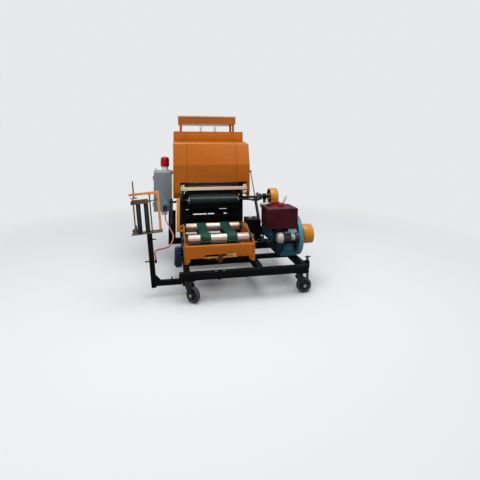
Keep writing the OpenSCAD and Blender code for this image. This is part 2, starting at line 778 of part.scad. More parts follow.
// Bar across the outlet, on two uprights with a tapered tab above each end
module cross_bar() color(ZINC) at_baler() {
    bar_z = [978, 1018];
    bar_x = [-cover_half + wing_left + gap, cover_half - wing_right - gap];
    box(bar_x, [post_y0, post_y0 + 36], bar_z);
    both_sides() box([beam_x + 22, beam_x + rail_w], [post_y0, post_y0 + 50], [beam_z, bar_z[0]]);
    for (x = [bar_x[0] + 29, bar_x[1] - 29]) {
        plate_y([post_y0, post_y0 + 6]) {
            polygon([[x - 27, bar_z[1] - 1], [x + 27, bar_z[1] - 1],
                     [x + 19, bar_z[1] + 32], [x - 19, bar_z[1] + 32]]);
        }
    }
}

module feed_hopper() color(ORANGE) at_baler() {
    mouth = [1160, 1500];
    neck = [1085, 1440];
    floor_t = 5;
    both_sides() plate_x([wall_half + wall_t, wall_half + wall_t + sheet]) {
        polygon([[baler_rear, neck[0]], [hopper_y, mouth[0]], [hopper_y, mouth[1]], [baler_rear, neck[1]]]);
    }
    box([-wall_half + seat, wall_half - seat], [rotor_y - tine_r + 20, baler_rear], [neck[0], neck[0] + floor_t]);
    plate_x([-wall_half - wall_t, wall_half + wall_t]) {
        polygon([[baler_rear, neck[0]], [hopper_y, mouth[0]],
                 [hopper_y, mouth[0] + floor_t], [baler_rear, neck[0] + floor_t]]);
    }
    both_sides() box([wall_half + wall_t, 400], [frame_rear - 40, frame_rear], [deck_z, neck[0] + 13]);
}

module feed_rotor() color(ZINC) at_baler() {
    rod_x(35, [-wall_half + gap, wall_half - gap], rotor_y, chamber_z);
    rod_x(rotor_shaft_r, [-wall_half - wall_t, wall_half + wall_t], rotor_y, chamber_z);
    for (i = [-2.5 : 1 : 2.5]) {
        plate_x([i * 110 - 4, i * 110 + 4]) translate([rotor_y, chamber_z]) for (a = [0, 90, 180, 270]) {
            rotate(a + 15 * i) polygon([[20, -22], [tine_r, -6], [tine_r, 6], [20, 22]]);
        }
    }
}

module conveyor_frame() color(BLACK) at_baler() {
    low = 805;
    both_sides() difference() {
        plate_x([side_x, side_x + 6]) {
            polygon([[conveyor_y0 - 40, low + 20], [conveyor_y0 + 10, low - 55], [conveyor_y0 + 90, low - 55],
                     [conveyor_y0 + 140, low], [conveyor_y1 + 40, low], [conveyor_y1 + 40, 900],
                     [conveyor_y0 - 40, 900]]);
        }
        for (y = [conveyor_y0, conveyor_y1]) {
            rod_x(conveyor_pin + fit, [side_x - 1, side_x + 7], y, conveyor_z);
        }
    }
    both_sides() for (y = [700, conveyor_y1 - 110]) {
        box([side_x + 6, beam_x], [y, y + 40], [815, 860]);
    }
    // Apron channel under the belt's front end
    box([-side_x, side_x], [conveyor_y0 + 30, conveyor_y0 + 36], [low - 55, low - 2]);
    box([-side_x, side_x], [conveyor_y0 + 30, conveyor_y0 + 70], [low - 55, low - 49]);
}

module conveyor_roller(y) color(ZINC) at_baler() {
    rod_x(conveyor_d / 2, [-conveyor_w / 2 - 5, conveyor_w / 2 + 5], y, conveyor_z);
    rod_x(conveyor_pin, [-side_x - 12, side_x + 12], y, conveyor_z);
}

module conveyor_belt() color(GREEN) at_baler() {
    r = conveyor_d / 2 + seat;
    difference() {
        union() {
            box([-conveyor_w / 2, conveyor_w / 2], [conveyor_y0, conveyor_y1],
                [conveyor_z - r - belt_t, conveyor_z + r + belt_t]);
            for (y = [conveyor_y0, conveyor_y1]) {
                rod_x(r + belt_t, [-conveyor_w / 2, conveyor_w / 2], y, conveyor_z);
            }
        }
        box([-conveyor_w / 2 - 1, conveyor_w / 2 + 1], [conveyor_y0, conveyor_y1], [conveyor_z - r, conveyor_z + r]);
        for (y = [conveyor_y0, conveyor_y1]) {
            rod_x(r, [-conveyor_w / 2 - 1, conveyor_w / 2 + 1], y, conveyor_z);
        }
    }
}

// The door's outline in Y and Z, down to a given height
module door_side(low) {
    polygon([[door_front, low + 80], [door_front + 40, low], [split_y(low) - gap, low],
             [split_y(shell_top) - gap, shell_top], [ledge_y, ledge_z], [door_front, door_break]]);
}

module door_skin(low) {
    rear = hinge_y - 20;
    polygon([[door_front, low], [door_front, door_break], [ledge_y, ledge_z], [rear, shell_top + 8],
             [rear, shell_top + 8 - sheet], [ledge_y + 3, ledge_z - sheet], [door_front + sheet, door_break - 1],
             [door_front + sheet, low]]);
}

// One of the door's lower wings, spanning x
module door_wing(x) {
    plate_x(x) door_skin(wing_low + 80);
    plate_x(x) polygon([
        [door_front, wing_low + 80], [door_front + 40, wing_low], [door_front + 40 + sheet, wing_low],
        [door_front + sheet, wing_low + 80]]);
}

module door() color(ORANGE) at_baler() difference() {
    union() {
        plate_x([-cover_half, cover_half]) door_skin(door_low);
        door_wing([-cover_half, -cover_half + wing_left]);
        door_wing([cover_half - wing_right, cover_half]);
        both_sides() {
            plate_x([cover_half - sheet, cover_half]) door_side(wing_low);
            plate_x([wall_half, wall_half + wall_t]) polygon([
                [door_front + 1, door_low], [820, 1000], [935, 942], [split_y(942) - gap, 942],
                [split_y(shell_top) - gap, shell_top], [ledge_y, ledge_z - 2], [door_front + 1, door_break]]);
            // Hinge ears
            box([420, 440], [hinge_y - 30, hinge_y], [shell_top - 4, hinge_z]);
            rod_x(18, [420, 440], hinge_y, hinge_z);
            // Pads against which the cylinders' eyes work
            rod_x(20, [cover_half - 1, barrel_x - eye_half - seat], eye_top[0], eye_top[1]);
        }
    }
    both_sides() {
        for (a = DOOR_BARS) {
            rod_x(stub_r + fit, [wall_half - 1, wall_half + wall_t + 1], ring_y(a), ring_z(a));
        }
        rod_x(hinge_d / 2 + fit, [419, 441], hinge_y, hinge_z);
    }
}

module door_rollers() color(ZINC) at_baler() {
    for (a = DOOR_BARS) {
        rod_x(bar_d / 2, [-wall_half + gap, wall_half - gap], ring_y(a), ring_z(a));
        rod_x(stub_r, [-wall_half - wall_t, wall_half + wall_t], ring_y(a), ring_z(a));
    }
}

// Along a door cylinder: zero at its trunnion, running up to the rod's eye
module on_right_cylinder() {
    translate([barrel_x, eye_low[0], eye_low[1]]) rotate([cyl_tilt, 0, 0]) children();
}

module on_cylinder(side) {
    at_baler() {
        if (side > 0) {
            on_right_cylinder() children();
        } else {
            mirror([1, 0, 0]) on_right_cylinder() children();
        }
    }
}

module barrel(side) color(BLACK) on_cylinder(side) difference() {
    union() {
        // Boss with a trunnion into the bracket and a stub and nut outwards
        rod_x(16, [-barrel_d / 2, barrel_d / 2], 0, 0);
        rod_x(eye_r, [-barrel_d / 2 - seat - trunnion_l, -barrel_d / 2 + 4], 0, 0);
        rod_x(eye_r, [barrel_d / 2 - 4, barrel_d / 2 + 12], 0, 0);
        rod_x(12, [barrel_d / 2 - 1, barrel_d / 2 + 6], 0, 0, $fn = 6);
        rod_z(barrel_d / 2, 0, 0, [-barrel_l, 34]);
        rod_z(barrel_d / 2 + 3, 0, 0, [-barrel_l, -barrel_l + 24]);
        rod_z(barrel_d / 2 - 5, 0, 0, [33, 44]);
    }
    rod_z(piston_rod_d / 2 + fit, 0, 0, [rod_in, 45]);
}

// The rod slides in the barrel; its eye works against the pad on the door
module piston_rod(side) color(ZINC) on_cylinder(side) {
    rod_z(piston_rod_d / 2, 0, 0, [rod_in + 1, cyl_len - 8]);
    rod_x(14, [-eye_half, eye_half], 0, cyl_len);
    rod_x(eye_r, [eye_half - 1, eye_half + 6], 0, cyl_len);
}

// Single-cylinder engine: crankcase at the front, cylinder and head lying towards the feed side
module engine_block() color(TEAL) placed() difference() {
    head_y = 480;
    union() {
        plate_x(engine_x) {
            translate([crank_at, crank_z]) circle(r = 112);
            polygon([[-210, bearer_z], [400, bearer_z], [400, 375], [60, 400], [60, 440], [head_y, 440],
                     [head_y, 640], [60, tank_z[0]], [-190, tank_z[0]], [-200, 480], [-215, 380]]);
        }
        box([engine_x[0] + 20, engine_x[1] - 20], [head_y, head_y + 90], [450, 640]);
        rod_x(95, [engine_x[0] - 34, engine_x[0]], crank_at, crank_z);
        rod_x(60, [engine_x[1], flywheel_x - gap], crank_at, crank_z);
        // Cradle of the starter, and the cover beside it
        box([engine_x[0] + 30, engine_x[0] + 90], [starter_y + 10, -190], [starter_z - 25, starter_z + 25]);
        box([engine_x[0] + 111, engine_x[1] + 2], [-236, -190], [starter_z + 28, starter_z + 88]);
    }
    rod_x(shaft_r + fit, [crank_in - 1, flywheel_x], crank_at, crank_z);
    rod_x(starter_r + seat, [engine_x[0] + 29, engine_x[0] + 91], starter_y, starter_z);
}

module engine_tank() color([0.3, 0.04, 0.08]) placed() {
    box(tank_x, tank_y, tank_z);
}

module engine_fittings() color([0.3, 0.3, 0.32]) placed() {
    riser = [engine_x[0] + 60, 520];
    rod_x(starter_r, [engine_x[0] - 20, engine_x[0] + 104], starter_y, starter_z);
    rod_x(22, [engine_x[0] + 103, engine_x[0] + 150], starter_y, starter_z);
    // Caps of the tank
    rod_z(34, 716, -100, [tank_z[1], tank_z[1] + 38]);
    rod_z(26, 590, -40, [tank_z[1], tank_z[1] + 24]);
    // Exhaust from the head
    rod_z(20, riser[0], riser[1], [640, 780]);
    rod_x(30, [riser[0] - 70, riser[0] + 50], riser[1], 786);
}

// A solid turned about the drive's direction, starting at x
module turned_x(x, y, z) {
    translate([x, y, z]) rotate([0, 90, 0]) rotate_extrude() children();
}

module flywheel() color(TEAL) placed() {
    r = flywheel_d / 2;
    w = flywheel_w;
    turned_x(flywheel_x, crank_at, crank_z) polygon([
        [shaft_r - 4, 0], [54, 0], [60, 16], [r - 40, 16], [r - 34, 0], [r - 3, 0], [r, 3],
        [r, w - 3], [r - 3, w], [r - 34, w], [r - 40, w - 16], [60, w - 16], [54, w], [shaft_r - 4, w]
    ]);
    rod_x(shaft_r, [crank_in, drive_reach], crank_at, crank_z);
}

// Half section of a flat-belt pulley with a web, its rim crowned to keep the belt on
module pulley_section(r) {
    w = pulley_w;
    crown = 3;
    polygon([
        [shaft_r + fit, 0], [46, 0], [50, w / 2 - 10], [r - 16, w / 2 - 10], [r - 12, 0], [r - crown, 0],
        [r, w / 3], [r, w * 2 / 3], [r - crown, w], [r - 12, w], [r - 16, w / 2 + 10], [50, w / 2 + 10], [46, w],
        [shaft_r + fit, w]
    ]);
}

module engine_pulley() color(YELLOW) placed() turned_x(engine_pulley_x[0], crank_at, crank_z) {
    pulley_section(engine_pulley_d / 2);
}

module baler_shaft() color(BLACK) placed() {
    rod_x(shaft_r, [hanger_x + seat, baler_pulley_x[1]], shaft_y, shaft_z);
    rod_x(shaft_end_r, [baler_pulley_x[1] - 1, baler_pulley_x[1] + shaft_end_l], shaft_y, shaft_z);
    // Clutch flanges
    rod_x(66, [right_rail - 120, right_rail - 100], shaft_y, shaft_z);
    rod_x(50, [right_rail - 101, right_rail - 50], shaft_y, shaft_z);
}

module baler_pulley() color(YELLOW) placed() turned_x(baler_pulley_x[0], shaft_y, shaft_z) {
    pulley_section(baler_pulley_d / 2);
}

module cabinet() color([0.45, 0.5, 0.53]) placed() difference() {
    back = cabinet_y + cabinet_d;
    union() {
        box([cabinet_x, cabinet_x + cabinet_w], [cabinet_y + door_t + seat, back], [cabinet_z0, cabinet_z1]);
        for (z = cabinet_hinges) {
            rod_z(knuckle_r, knuckle[0], knuckle[1], [z + 15 + seat, z + 45]);
            rod_z(3, knuckle[0], knuckle[1], [z - 15, z + 45]);
            box([knuckle[0], cabinet_x - 1], [knuckle[1], cabinet_y + door_t + 12], [z + 15 + seat, z + 45]);
            box([knuckle[0], cabinet_x + 1], [cabinet_y + door_t + 1, cabinet_y + door_t + 12],
                [z + 15 + seat, z + 45]);
        }
    }
    box([cabinet_x + 2, cabinet_x + cabinet_w - 2], [cabinet_y + door_t - 1, back - 2],
        [cabinet_z0 + 2, cabinet_z1 - 2]);
}

module cabinet_door() color([0.5, 0.55, 0.58]) placed() difference() {
    union() {
        box([cabinet_x, cabinet_x + cabinet_w], [cabinet_y, cabinet_y + door_t], [cabinet_z0, cabinet_z1]);
        // Switch box low on its front
        box([cabinet_x + 122, cabinet_x + 191], [cabinet_y - 30, cabinet_y + 1], [cabinet_z0 + 6, cabinet_z0 + 88]);
        for (z = cabinet_hinges) {
            rod_z(knuckle_r, knuckle[0], knuckle[1], [z - 15, z + 15]);
            box([knuckle[0], cabinet_x + 1], [cabinet_y + 2, knuckle[1]], [z - 15, z + 15]);
        }
    }
    box([cabinet_x + 2, cabinet_x + cabinet_w - 2], [cabinet_y + 2, cabinet_y + door_t + 1],
        [cabinet_z0 + 2, cabinet_z1 - 2]);
    for (z = cabinet_hinges) {
        rod_z(3 + fit, knuckle[0], knuckle[1], [z - 16, z + 16]);
    }
}

module on_cabinet() {
    placed() translate([cabinet_x + 145, cabinet_y + 100, cabinet_z1]) children();
}

module beacon_base() color([0.75, 0.75, 0.72]) on_cabinet() {
    cylinder(r = 54, h = 8);
    cylinder(r = 46, h = beacon_z);
}

module beacon() color([0.6, 0.02, 0.05]) on_cabinet() translate([0, 0, beacon_z]) {
    rotate_extrude() polygon([[0, 0], [54, 0], [58, 5], [58, 84], [54, 108], [42, 124], [22, 131], [0, 132]]);
}

// Smooth run through a list of points, then a tube of rings along it
function spline(p, i, t) =
    let (a = p[max(i - 1, 0)], b = p[i], c = p[i + 1], d = p[min(i + 2, len(p) - 1)])
    0.5 * (2 * b + (c - a) * t + (2 * a - 5 * b + 4 * c - d) * t * t + (3 * b - a - 3 * c + d) * t * t * t);
function run(p, n) = concat([for (i = [0 : len(p) - 2]) for (k = [0 : n - 1]) spline(p, i, k / n)], [p[len(p) - 1]]);
function unit(v) = v / norm(v);

module tube(path, r, sides) {
    last = len(path) - 1;
    tangent = [for (i = [0 : last]) unit(path[min(i + 1, last)] - path[max(i - 1, 0)])];
    across = [for (t = tangent) unit(cross(t, [1, 0.2, 0.1]))];
    points = [for (i = [0 : last]) for (k = [0 : sides - 1])
        path[i] + r * (cos(360 * k / sides) * across[i] + sin(360 * k / sides) * cross(tangent[i], across[i]))];
    walls = [for (i = [0 : last - 1]) for (k = [0 : sides - 1])
        [i * sides + k, (i + 1) * sides + k, (i + 1) * sides + (k + 1) % sides, i * sides + (k + 1) % sides]];
    ends = [[for (k = [0 : sides - 1]) k], [for (k = [sides - 1 : -1 : 0]) last * sides + k]];
    polyhedron(points, concat(walls, ends), convexity = 4);
}

module junction_box() color([0.75, 0.75, 0.72]) placed() {
    box([-650, -570], [895, 945], [HOSE[0][2], cabinet_z0]);
}

module hose() color([0.8, 0.45, 0.42]) placed() {
    tube(run(HOSE, 5), hose_r, 10);
}

base_frame();
cross_members();
base_brackets();
caster_fork(FRONT_LEFT);  // fork_front_left
caster_fork(FRONT_RIGHT);  // fork_front_right
caster_fork(REAR_LEFT);  // fork_rear_left
caster_fork(REAR_RIGHT);  // fork_rear_right
caster_wheel(FRONT_LEFT);  // wheel_front_left
caster_wheel(FRONT_RIGHT);  // wheel_front_right
caster_wheel(REAR_LEFT);  // wheel_rear_left
caster_wheel(REAR_RIGHT);  // wheel_rear_right
levelling_leg();
table_bearing();
gearmotor();
table_frame();
guard_post();
table_belts();
table_roller(-roller_y);  // table_roller_front
table_roller(roller_y);  // table_roller_rear
film_stand();
film_head();
film_bar();
stretch_roller(STRETCH_X[0]);  // stretch_roller_left
stretch_roller(STRETCH_X[1]);  // stretch_roller_right
film_spindle();
baler_frame();
baler_brackets();
chamber_walls();
chamber_rollers();
drive_covers();
upper_hood();
twine_box();
twine_guides();
cross_bar();
feed_hopper();
feed_rotor();
conveyor_frame();
conveyor_roller(conveyor_y0);  // conveyor_roller_front
conveyor_roller(conveyor_y1);  // conveyor_roller_rear
conveyor_belt();
door();
door_rollers();
barrel(-1);  // barrel_left
barrel(1);  // barrel_right
piston_rod(-1);  // rod_left
piston_rod(1);  // rod_right
engine_block();
engine_tank();
engine_fittings();
flywheel();
engine_pulley();
baler_shaft();
baler_pulley();
cabinet();
cabinet_door();
beacon_base();
beacon();
junction_box();
hose();
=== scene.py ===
import bpy
import bmesh
import json
import math
from mathutils import Matrix, Vector

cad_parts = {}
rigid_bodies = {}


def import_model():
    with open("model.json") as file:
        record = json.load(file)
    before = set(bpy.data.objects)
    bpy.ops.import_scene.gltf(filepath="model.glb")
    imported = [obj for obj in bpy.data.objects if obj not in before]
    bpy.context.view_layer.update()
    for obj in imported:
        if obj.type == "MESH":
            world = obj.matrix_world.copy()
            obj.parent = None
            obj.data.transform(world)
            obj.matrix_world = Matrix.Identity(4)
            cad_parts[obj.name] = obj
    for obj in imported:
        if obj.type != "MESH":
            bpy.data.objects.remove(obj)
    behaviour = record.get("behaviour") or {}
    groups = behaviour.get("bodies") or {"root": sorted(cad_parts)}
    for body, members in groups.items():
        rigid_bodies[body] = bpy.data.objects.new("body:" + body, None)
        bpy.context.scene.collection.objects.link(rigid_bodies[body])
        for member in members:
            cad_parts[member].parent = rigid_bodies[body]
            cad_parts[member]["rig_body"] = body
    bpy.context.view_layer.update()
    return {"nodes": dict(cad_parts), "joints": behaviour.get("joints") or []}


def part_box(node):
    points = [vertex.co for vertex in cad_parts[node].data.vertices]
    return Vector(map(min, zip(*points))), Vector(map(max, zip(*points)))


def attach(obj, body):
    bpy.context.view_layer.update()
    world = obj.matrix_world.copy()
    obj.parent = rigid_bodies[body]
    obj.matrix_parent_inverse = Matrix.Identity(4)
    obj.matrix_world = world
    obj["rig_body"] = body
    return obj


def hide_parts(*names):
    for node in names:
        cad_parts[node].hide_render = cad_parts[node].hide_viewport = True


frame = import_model()
nodes = frame["nodes"]

# Camera: a level view from about head height, in front of the wrapping table and left of it.
# The picture was cut low, so the lens is shifted down.
low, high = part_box("table_bearing")
table_x = -26
origin = Vector(((low.x + high.x) / 2 - table_x / 1000, (low.y + high.y) / 2, 0))


def at(x, y, z):
    """A place in millimetres from the machine's centre line and the turntable's axis, in the scene."""
    return origin + Vector((x, y, z)) / 1000


lens_data = bpy.data.cameras.new("camera")
lens_data.lens = 26.25
lens_data.sensor_width = 36
lens_data.shift_y = -0.194
camera = bpy.data.objects.new("camera", lens_data)
bpy.context.scene.collection.objects.link(camera)
camera.location = at(-510, -3945, 1550)
camera.rotation_euler = (math.radians(90), 0, math.radians(-11))
bpy.context.scene.camera = camera
bpy.context.scene.view_settings.view_transform = "Standard"

# Hose: a soft pink plastic hose of 16 mm from the box under the cabinet to the fitting on the film post.
# It hangs between its two ends and is held at both, so it is a cord that goes back into the machine.
hose_route = [
    (-600, 920, 630), (-600, 920, 617), (-600, 920, 604), (-592, 885, 560), (-568, 780, 535),
    (-530, 620, 500), (-493, 450, 440), (-532, 280, 380), (-590, 100, 405), (-652, -100, 450),
    (-686, -185, 453), (-678, -200, 414), (-675, -200, 378),
]
hose_r = 0.008


def smooth_run(points, steps):
    """The curve that runs smoothly through the points."""
    run = []
    for i in range(len(points) - 1):
        a, b = points[max(i - 1, 0)], points[i]
        c, d = points[i + 1], points[min(i + 2, len(points) - 1)]
        for k in range(steps):
            t = k / steps
            bend = (2 * a - 5 * b + 4 * c - d) * t ** 2 + (3 * b - a - 3 * c + d) * t ** 3
            run.append(0.5 * (2 * b + (c - a) * t + bend))
    return run + [points[-1]]


def add_skin(form, rings, loop=False):
    """Faces between rings of vertices, with an end on the first and the last, or joined round as a loop."""
    for a, b in list(zip(rings, rings[1:])) + ([(rings[-1], rings[0])] if loop else []):
        for k in range(len(a)):
            n = (k + 1) % len(a)
            form.faces.new((a[k], a[n], b[n], b[k]))
    if not loop:
        form.faces.new(list(reversed(rings[0])))
        form.faces.new(rings[-1])


def ring_of(form, place, radius, across, other, turns):
    """Vertices round a place, in the plane of two directions, one for each turn."""
    return [form.verts.new(place + radius * (math.cos(t) * across + math.sin(t) * other)) for t in turns]


def add_tube(form, run, radius, sides=16):
    """A closed tube along a run of points, its rings turned as little as can be."""
    across, rings = None, []
    turns = [2 * math.pi * k / sides for k in range(sides)]
    for i, place in enumerate(run):
        along = (run[min(i + 1, len(run) - 1)] - run[max(i - 1, 0)]).normalized()
        if across is None:
            across = along.orthogonal().normalized()
        across = (across - along * across.dot(along)).normalized()
        rings.append(ring_of(form, place, radius, across, along.cross(across), turns))
    add_skin(form, rings)


def finished(name, mesh, material, body, rounding, turned, segments=2):
    """A piece of the machine from a mesh, its edges past an angle rounded, or left sharp."""
    mesh.shade_smooth()
    mesh.materials.clear()
    mesh.materials.append(material)
    piece = bpy.data.objects.new(name, mesh)
    bpy.context.scene.collection.objects.link(piece)
    if rounding:
        edge = piece.modifiers.new("edges", "BEVEL")
        edge.width = rounding
        edge.segments = segments
        edge.limit_method = "ANGLE"
        edge.angle_limit = math.radians(turned)
        edge.use_clamp_overlap = True
        edge.harden_normals = True
    else:
        mesh.set_sharp_from_angle(angle=math.radians(turned))
    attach(piece, body)
    return piece


def piece_from(form, name, material, rounding=0.0, body="chassis", turned=35):
    """A new piece of the machine from a form in mesh code, its place in its mesh."""
    mesh = bpy.data.meshes.new(name)
    bmesh.ops.recalc_face_normals(form, faces=form.faces)
    form.to_mesh(mesh)
    form.free()
    return finished(name, mesh, material, body, rounding, turned)


def new_material(name):
    """An empty procedural material: its nodes, its links and its shader."""
    material = bpy.data.materials.new(name)
    material.use_nodes = True
    tree = material.node_tree
    return material, tree, tree.nodes["Principled BSDF"]


def feed(tree, node, given):
    """Sets a node's inputs, each to a plain value or to the output of another node."""
    for name, value in given.items():
        if isinstance(value, bpy.types.NodeSocket):
            tree.links.new(value, node.inputs[name])
        else:
            node.inputs[name].default_value = value
    return node


def put(tree, kind, given={}, **settings):
    """A new node in a tree, with its settings and its inputs."""
    node = tree.nodes.new(kind)
    for name, value in settings.items():
        setattr(node, name, value)
    return feed(tree, node, given)


def piece_place(tree):
    """Each point's place on the piece."""
    return put(tree, "ShaderNodeTexCoord").outputs["Object"]


def clouds(tree, place, scale, detail=2, rough=0.5):
    """Cloudy noise."""
    noise = {"Vector": place, "Scale": scale, "Detail": detail, "Roughness": rough}
    return put(tree, "ShaderNodeTexNoise", noise).outputs["Fac"]


def waves(tree, place, way, scale):
    """Even waves that follow one another along an axis."""
    wave = put(tree, "ShaderNodeTexWave", {"Vector": place, "Scale": scale}, bands_direction=way)
    return wave.outputs["Fac"]


def tinted(tree, mask, stops):
    """A mask's colours along a ramp, each stop a position and a colour."""
    node = put(tree, "ShaderNodeValToRGB", {"Fac": mask})
    entries = node.color_ramp.elements
    while len(entries) < len(stops):
        entries.new(0.5)
    for entry, (spot, colour) in zip(entries, stops):
        entry.position, entry.color = spot, (*colour, 1)
    return node.outputs["Color"]


def emboss(tree, shader, height, strength, depth=0.001):
    """Fine relief on a surface."""
    relief = put(tree, "ShaderNodeBump", {"Strength": strength, "Distance": depth, "Height": height})
    feed(tree, shader, {"Normal": relief.outputs["Normal"]})


hose_plastic, tree, shader = new_material("hose_plastic")
bands = clouds(tree, piece_place(tree), 35)
pinks = tinted(tree, bands, ((0.3, (0.72, 0.17, 0.13)), (0.75, (0.85, 0.3, 0.25))))
feed(tree, shader, {"Base Color": pinks, "Roughness": 0.38, "Coat Weight": 0.2})
emboss(tree, shader, bands, 0.15)
hose_run = smooth_run([at(*p) for p in hose_route], 6)
hose_form = bmesh.new()
add_tube(hose_form, hose_run, hose_r)
hose = piece_from(hose_form, "film_post_hose", hose_plastic)
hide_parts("hose")

# Floor and light: a pale floor that fades into a pale sky, one broad lamp above and one in front.
# They only show the machine and belong to the stage.
pale = (0.8, 0.81, 0.82, 1)
fade_from, fade_to = 1.8, 5.5
floor_half = 60


def mixed(tree, mask, a, b):
    """One colour where the mask is 0 and another where it is 1."""
    return put(tree, "ShaderNodeMix", {0: mask, 6: a, 7: b}, data_type="RGBA").outputs[2]


def reckoned(tree, operation, a, b, clamp=False):
    """The result of one operation on two values."""
    return put(tree, "ShaderNodeMath", {0: a, 1: b}, operation=operation, use_clamp=clamp).outputs[0]


def length_of(tree, vector):
    """A vector's length."""
    return put(tree, "ShaderNodeVectorMath", {0: vector}, operation="LENGTH").outputs["Value"]


floor_mesh = bpy.data.meshes.new("floor")
floor_corners = [(x * floor_half, y * floor_half, 0) for x, y in ((-1, -1), (1, -1), (1, 1), (-1, 1))]
floor_mesh.from_pydata(floor_corners, [], [(0, 1, 2, 3)])
floor = bpy.data.objects.new("floor", floor_mesh)
bpy.context.scene.collection.objects.link(floor)
floor_paint, tree, shader = new_material("floor")
seen = put(tree, "ShaderNodeLightPath").outputs["Is Camera Ray"]
ground = mixed(tree, seen, (0.26, 0.255, 0.245, 1), (0.84, 0.84, 0.835, 1))
feed(tree, shader, {"Base Color": ground, "Roughness": 0.9, "Specular IOR Level": 0.1})
fade = put(tree, "ShaderNodeMapRange", {"Value": length_of(tree, piece_place(tree)), "From Min": fade_from,
                                        "From Max": fade_to}, interpolation_type="SMOOTHSTEP")
glow = put(tree, "ShaderNodeEmission", {"Color": pale})
blend = put(tree, "ShaderNodeMixShader", {"Fac": fade.outputs["Result"], 1: shader.outputs["BSDF"],
                                          2: glow.outputs["Emission"]})
feed(tree, tree.nodes["Material Output"], {"Surface": blend.outputs["Shader"]})
floor_mesh.materials.append(floor_paint)

world = bpy.data.worlds.new("sky")
bpy.context.scene.world = world
world.use_nodes = True
tree = world.node_tree
direction = put(tree, "ShaderNodeTexCoord").outputs["Generated"]
height = put(tree, "ShaderNodeSeparateXYZ", {"Vector": direction}).outputs["Z"]
shade = tinted(tree, height, ((0.02, (0.16, 0.165, 0.17)), (0.55, (0.86, 0.92, 1.0))))
sky = feed(tree, tree.nodes["Background"], {"Strength": 0.72, "Color": shade})
backdrop = put(tree, "ShaderNodeBackground", {"Color": pale})
seen = put(tree, "ShaderNodeLightPath").outputs
either = reckoned(tree, "MAXIMUM", seen["Is Camera Ray"], seen["Is Transmission Ray"])
blend = put(tree, "ShaderNodeMixShader", {"Fac": either, 1: sky.outputs["Background"],
                                          2: backdrop.outputs["Background"]})
feed(tree, tree.nodes["World Output"], {"Surface": blend.outputs["Shader"]})


def lamp(name, place, target, power, size, colour):
    """A square soft lamp that looks at a target."""
    data = bpy.data.lights.new(name, "AREA")
    data.energy = power
    data.size = size
    data.color = colour
    piece = bpy.data.objects.new(name, data)
    bpy.context.scene.collection.objects.link(piece)
    piece.location = place
    piece.rotation_euler = (Vector(target) - Vector(place)).to_track_quat("-Z", "Y").to_euler()


lamp("top_lamp", (0.4, -1.2, 6.0), (0, 0.1, 0.8), 190, 4.5, (1, 0.99, 0.97))
lamp("front_lamp", (-3.2, -5.0, 4.2), (0, 0, 0.9), 52, 3.0, (1, 0.98, 0.95))

# Base frame: rails and cross members of square steel tube, welded, brushed with black paint and dusty.
# Two bearers lie across it for the engine. Brackets under and beside it carry casters, cabinet and film arm.


def new_group(name, kind, takes, gives):
    """A group of nodes: its named inputs and outputs, each with its kind and sometimes a value."""
    group = bpy.data.node_groups.new(name, kind)
    for way, sockets in (("INPUT", takes), ("OUTPUT", gives)):
        for label, sort, *value in sockets:
            socket = group.interface.new_socket(label, in_out=way, socket_type="NodeSocket" + sort)
            if value:
                socket.default_value = value[0]
    return group, put(group, "NodeGroupInput").outputs, put(group, "NodeGroupOutput")


def new_cover(name, *takes):
    """A group of shader nodes that gives a surface its colour, roughness and relief."""
    gives = (("Color", "Color"), ("Roughness", "Float"), ("Bump", "Float"))
    return new_group(name, "ShaderNodeTree", takes, gives)


def ranged(tree, value, low, high, to_low=0.0, to_high=1.0):
    """A value moved from one range to another."""
    ends = {"Value": value, "From Min": low, "From Max": high, "To Min": to_low, "To Max": to_high}
    return put(tree, "ShaderNodeMapRange", ends).outputs["Result"]


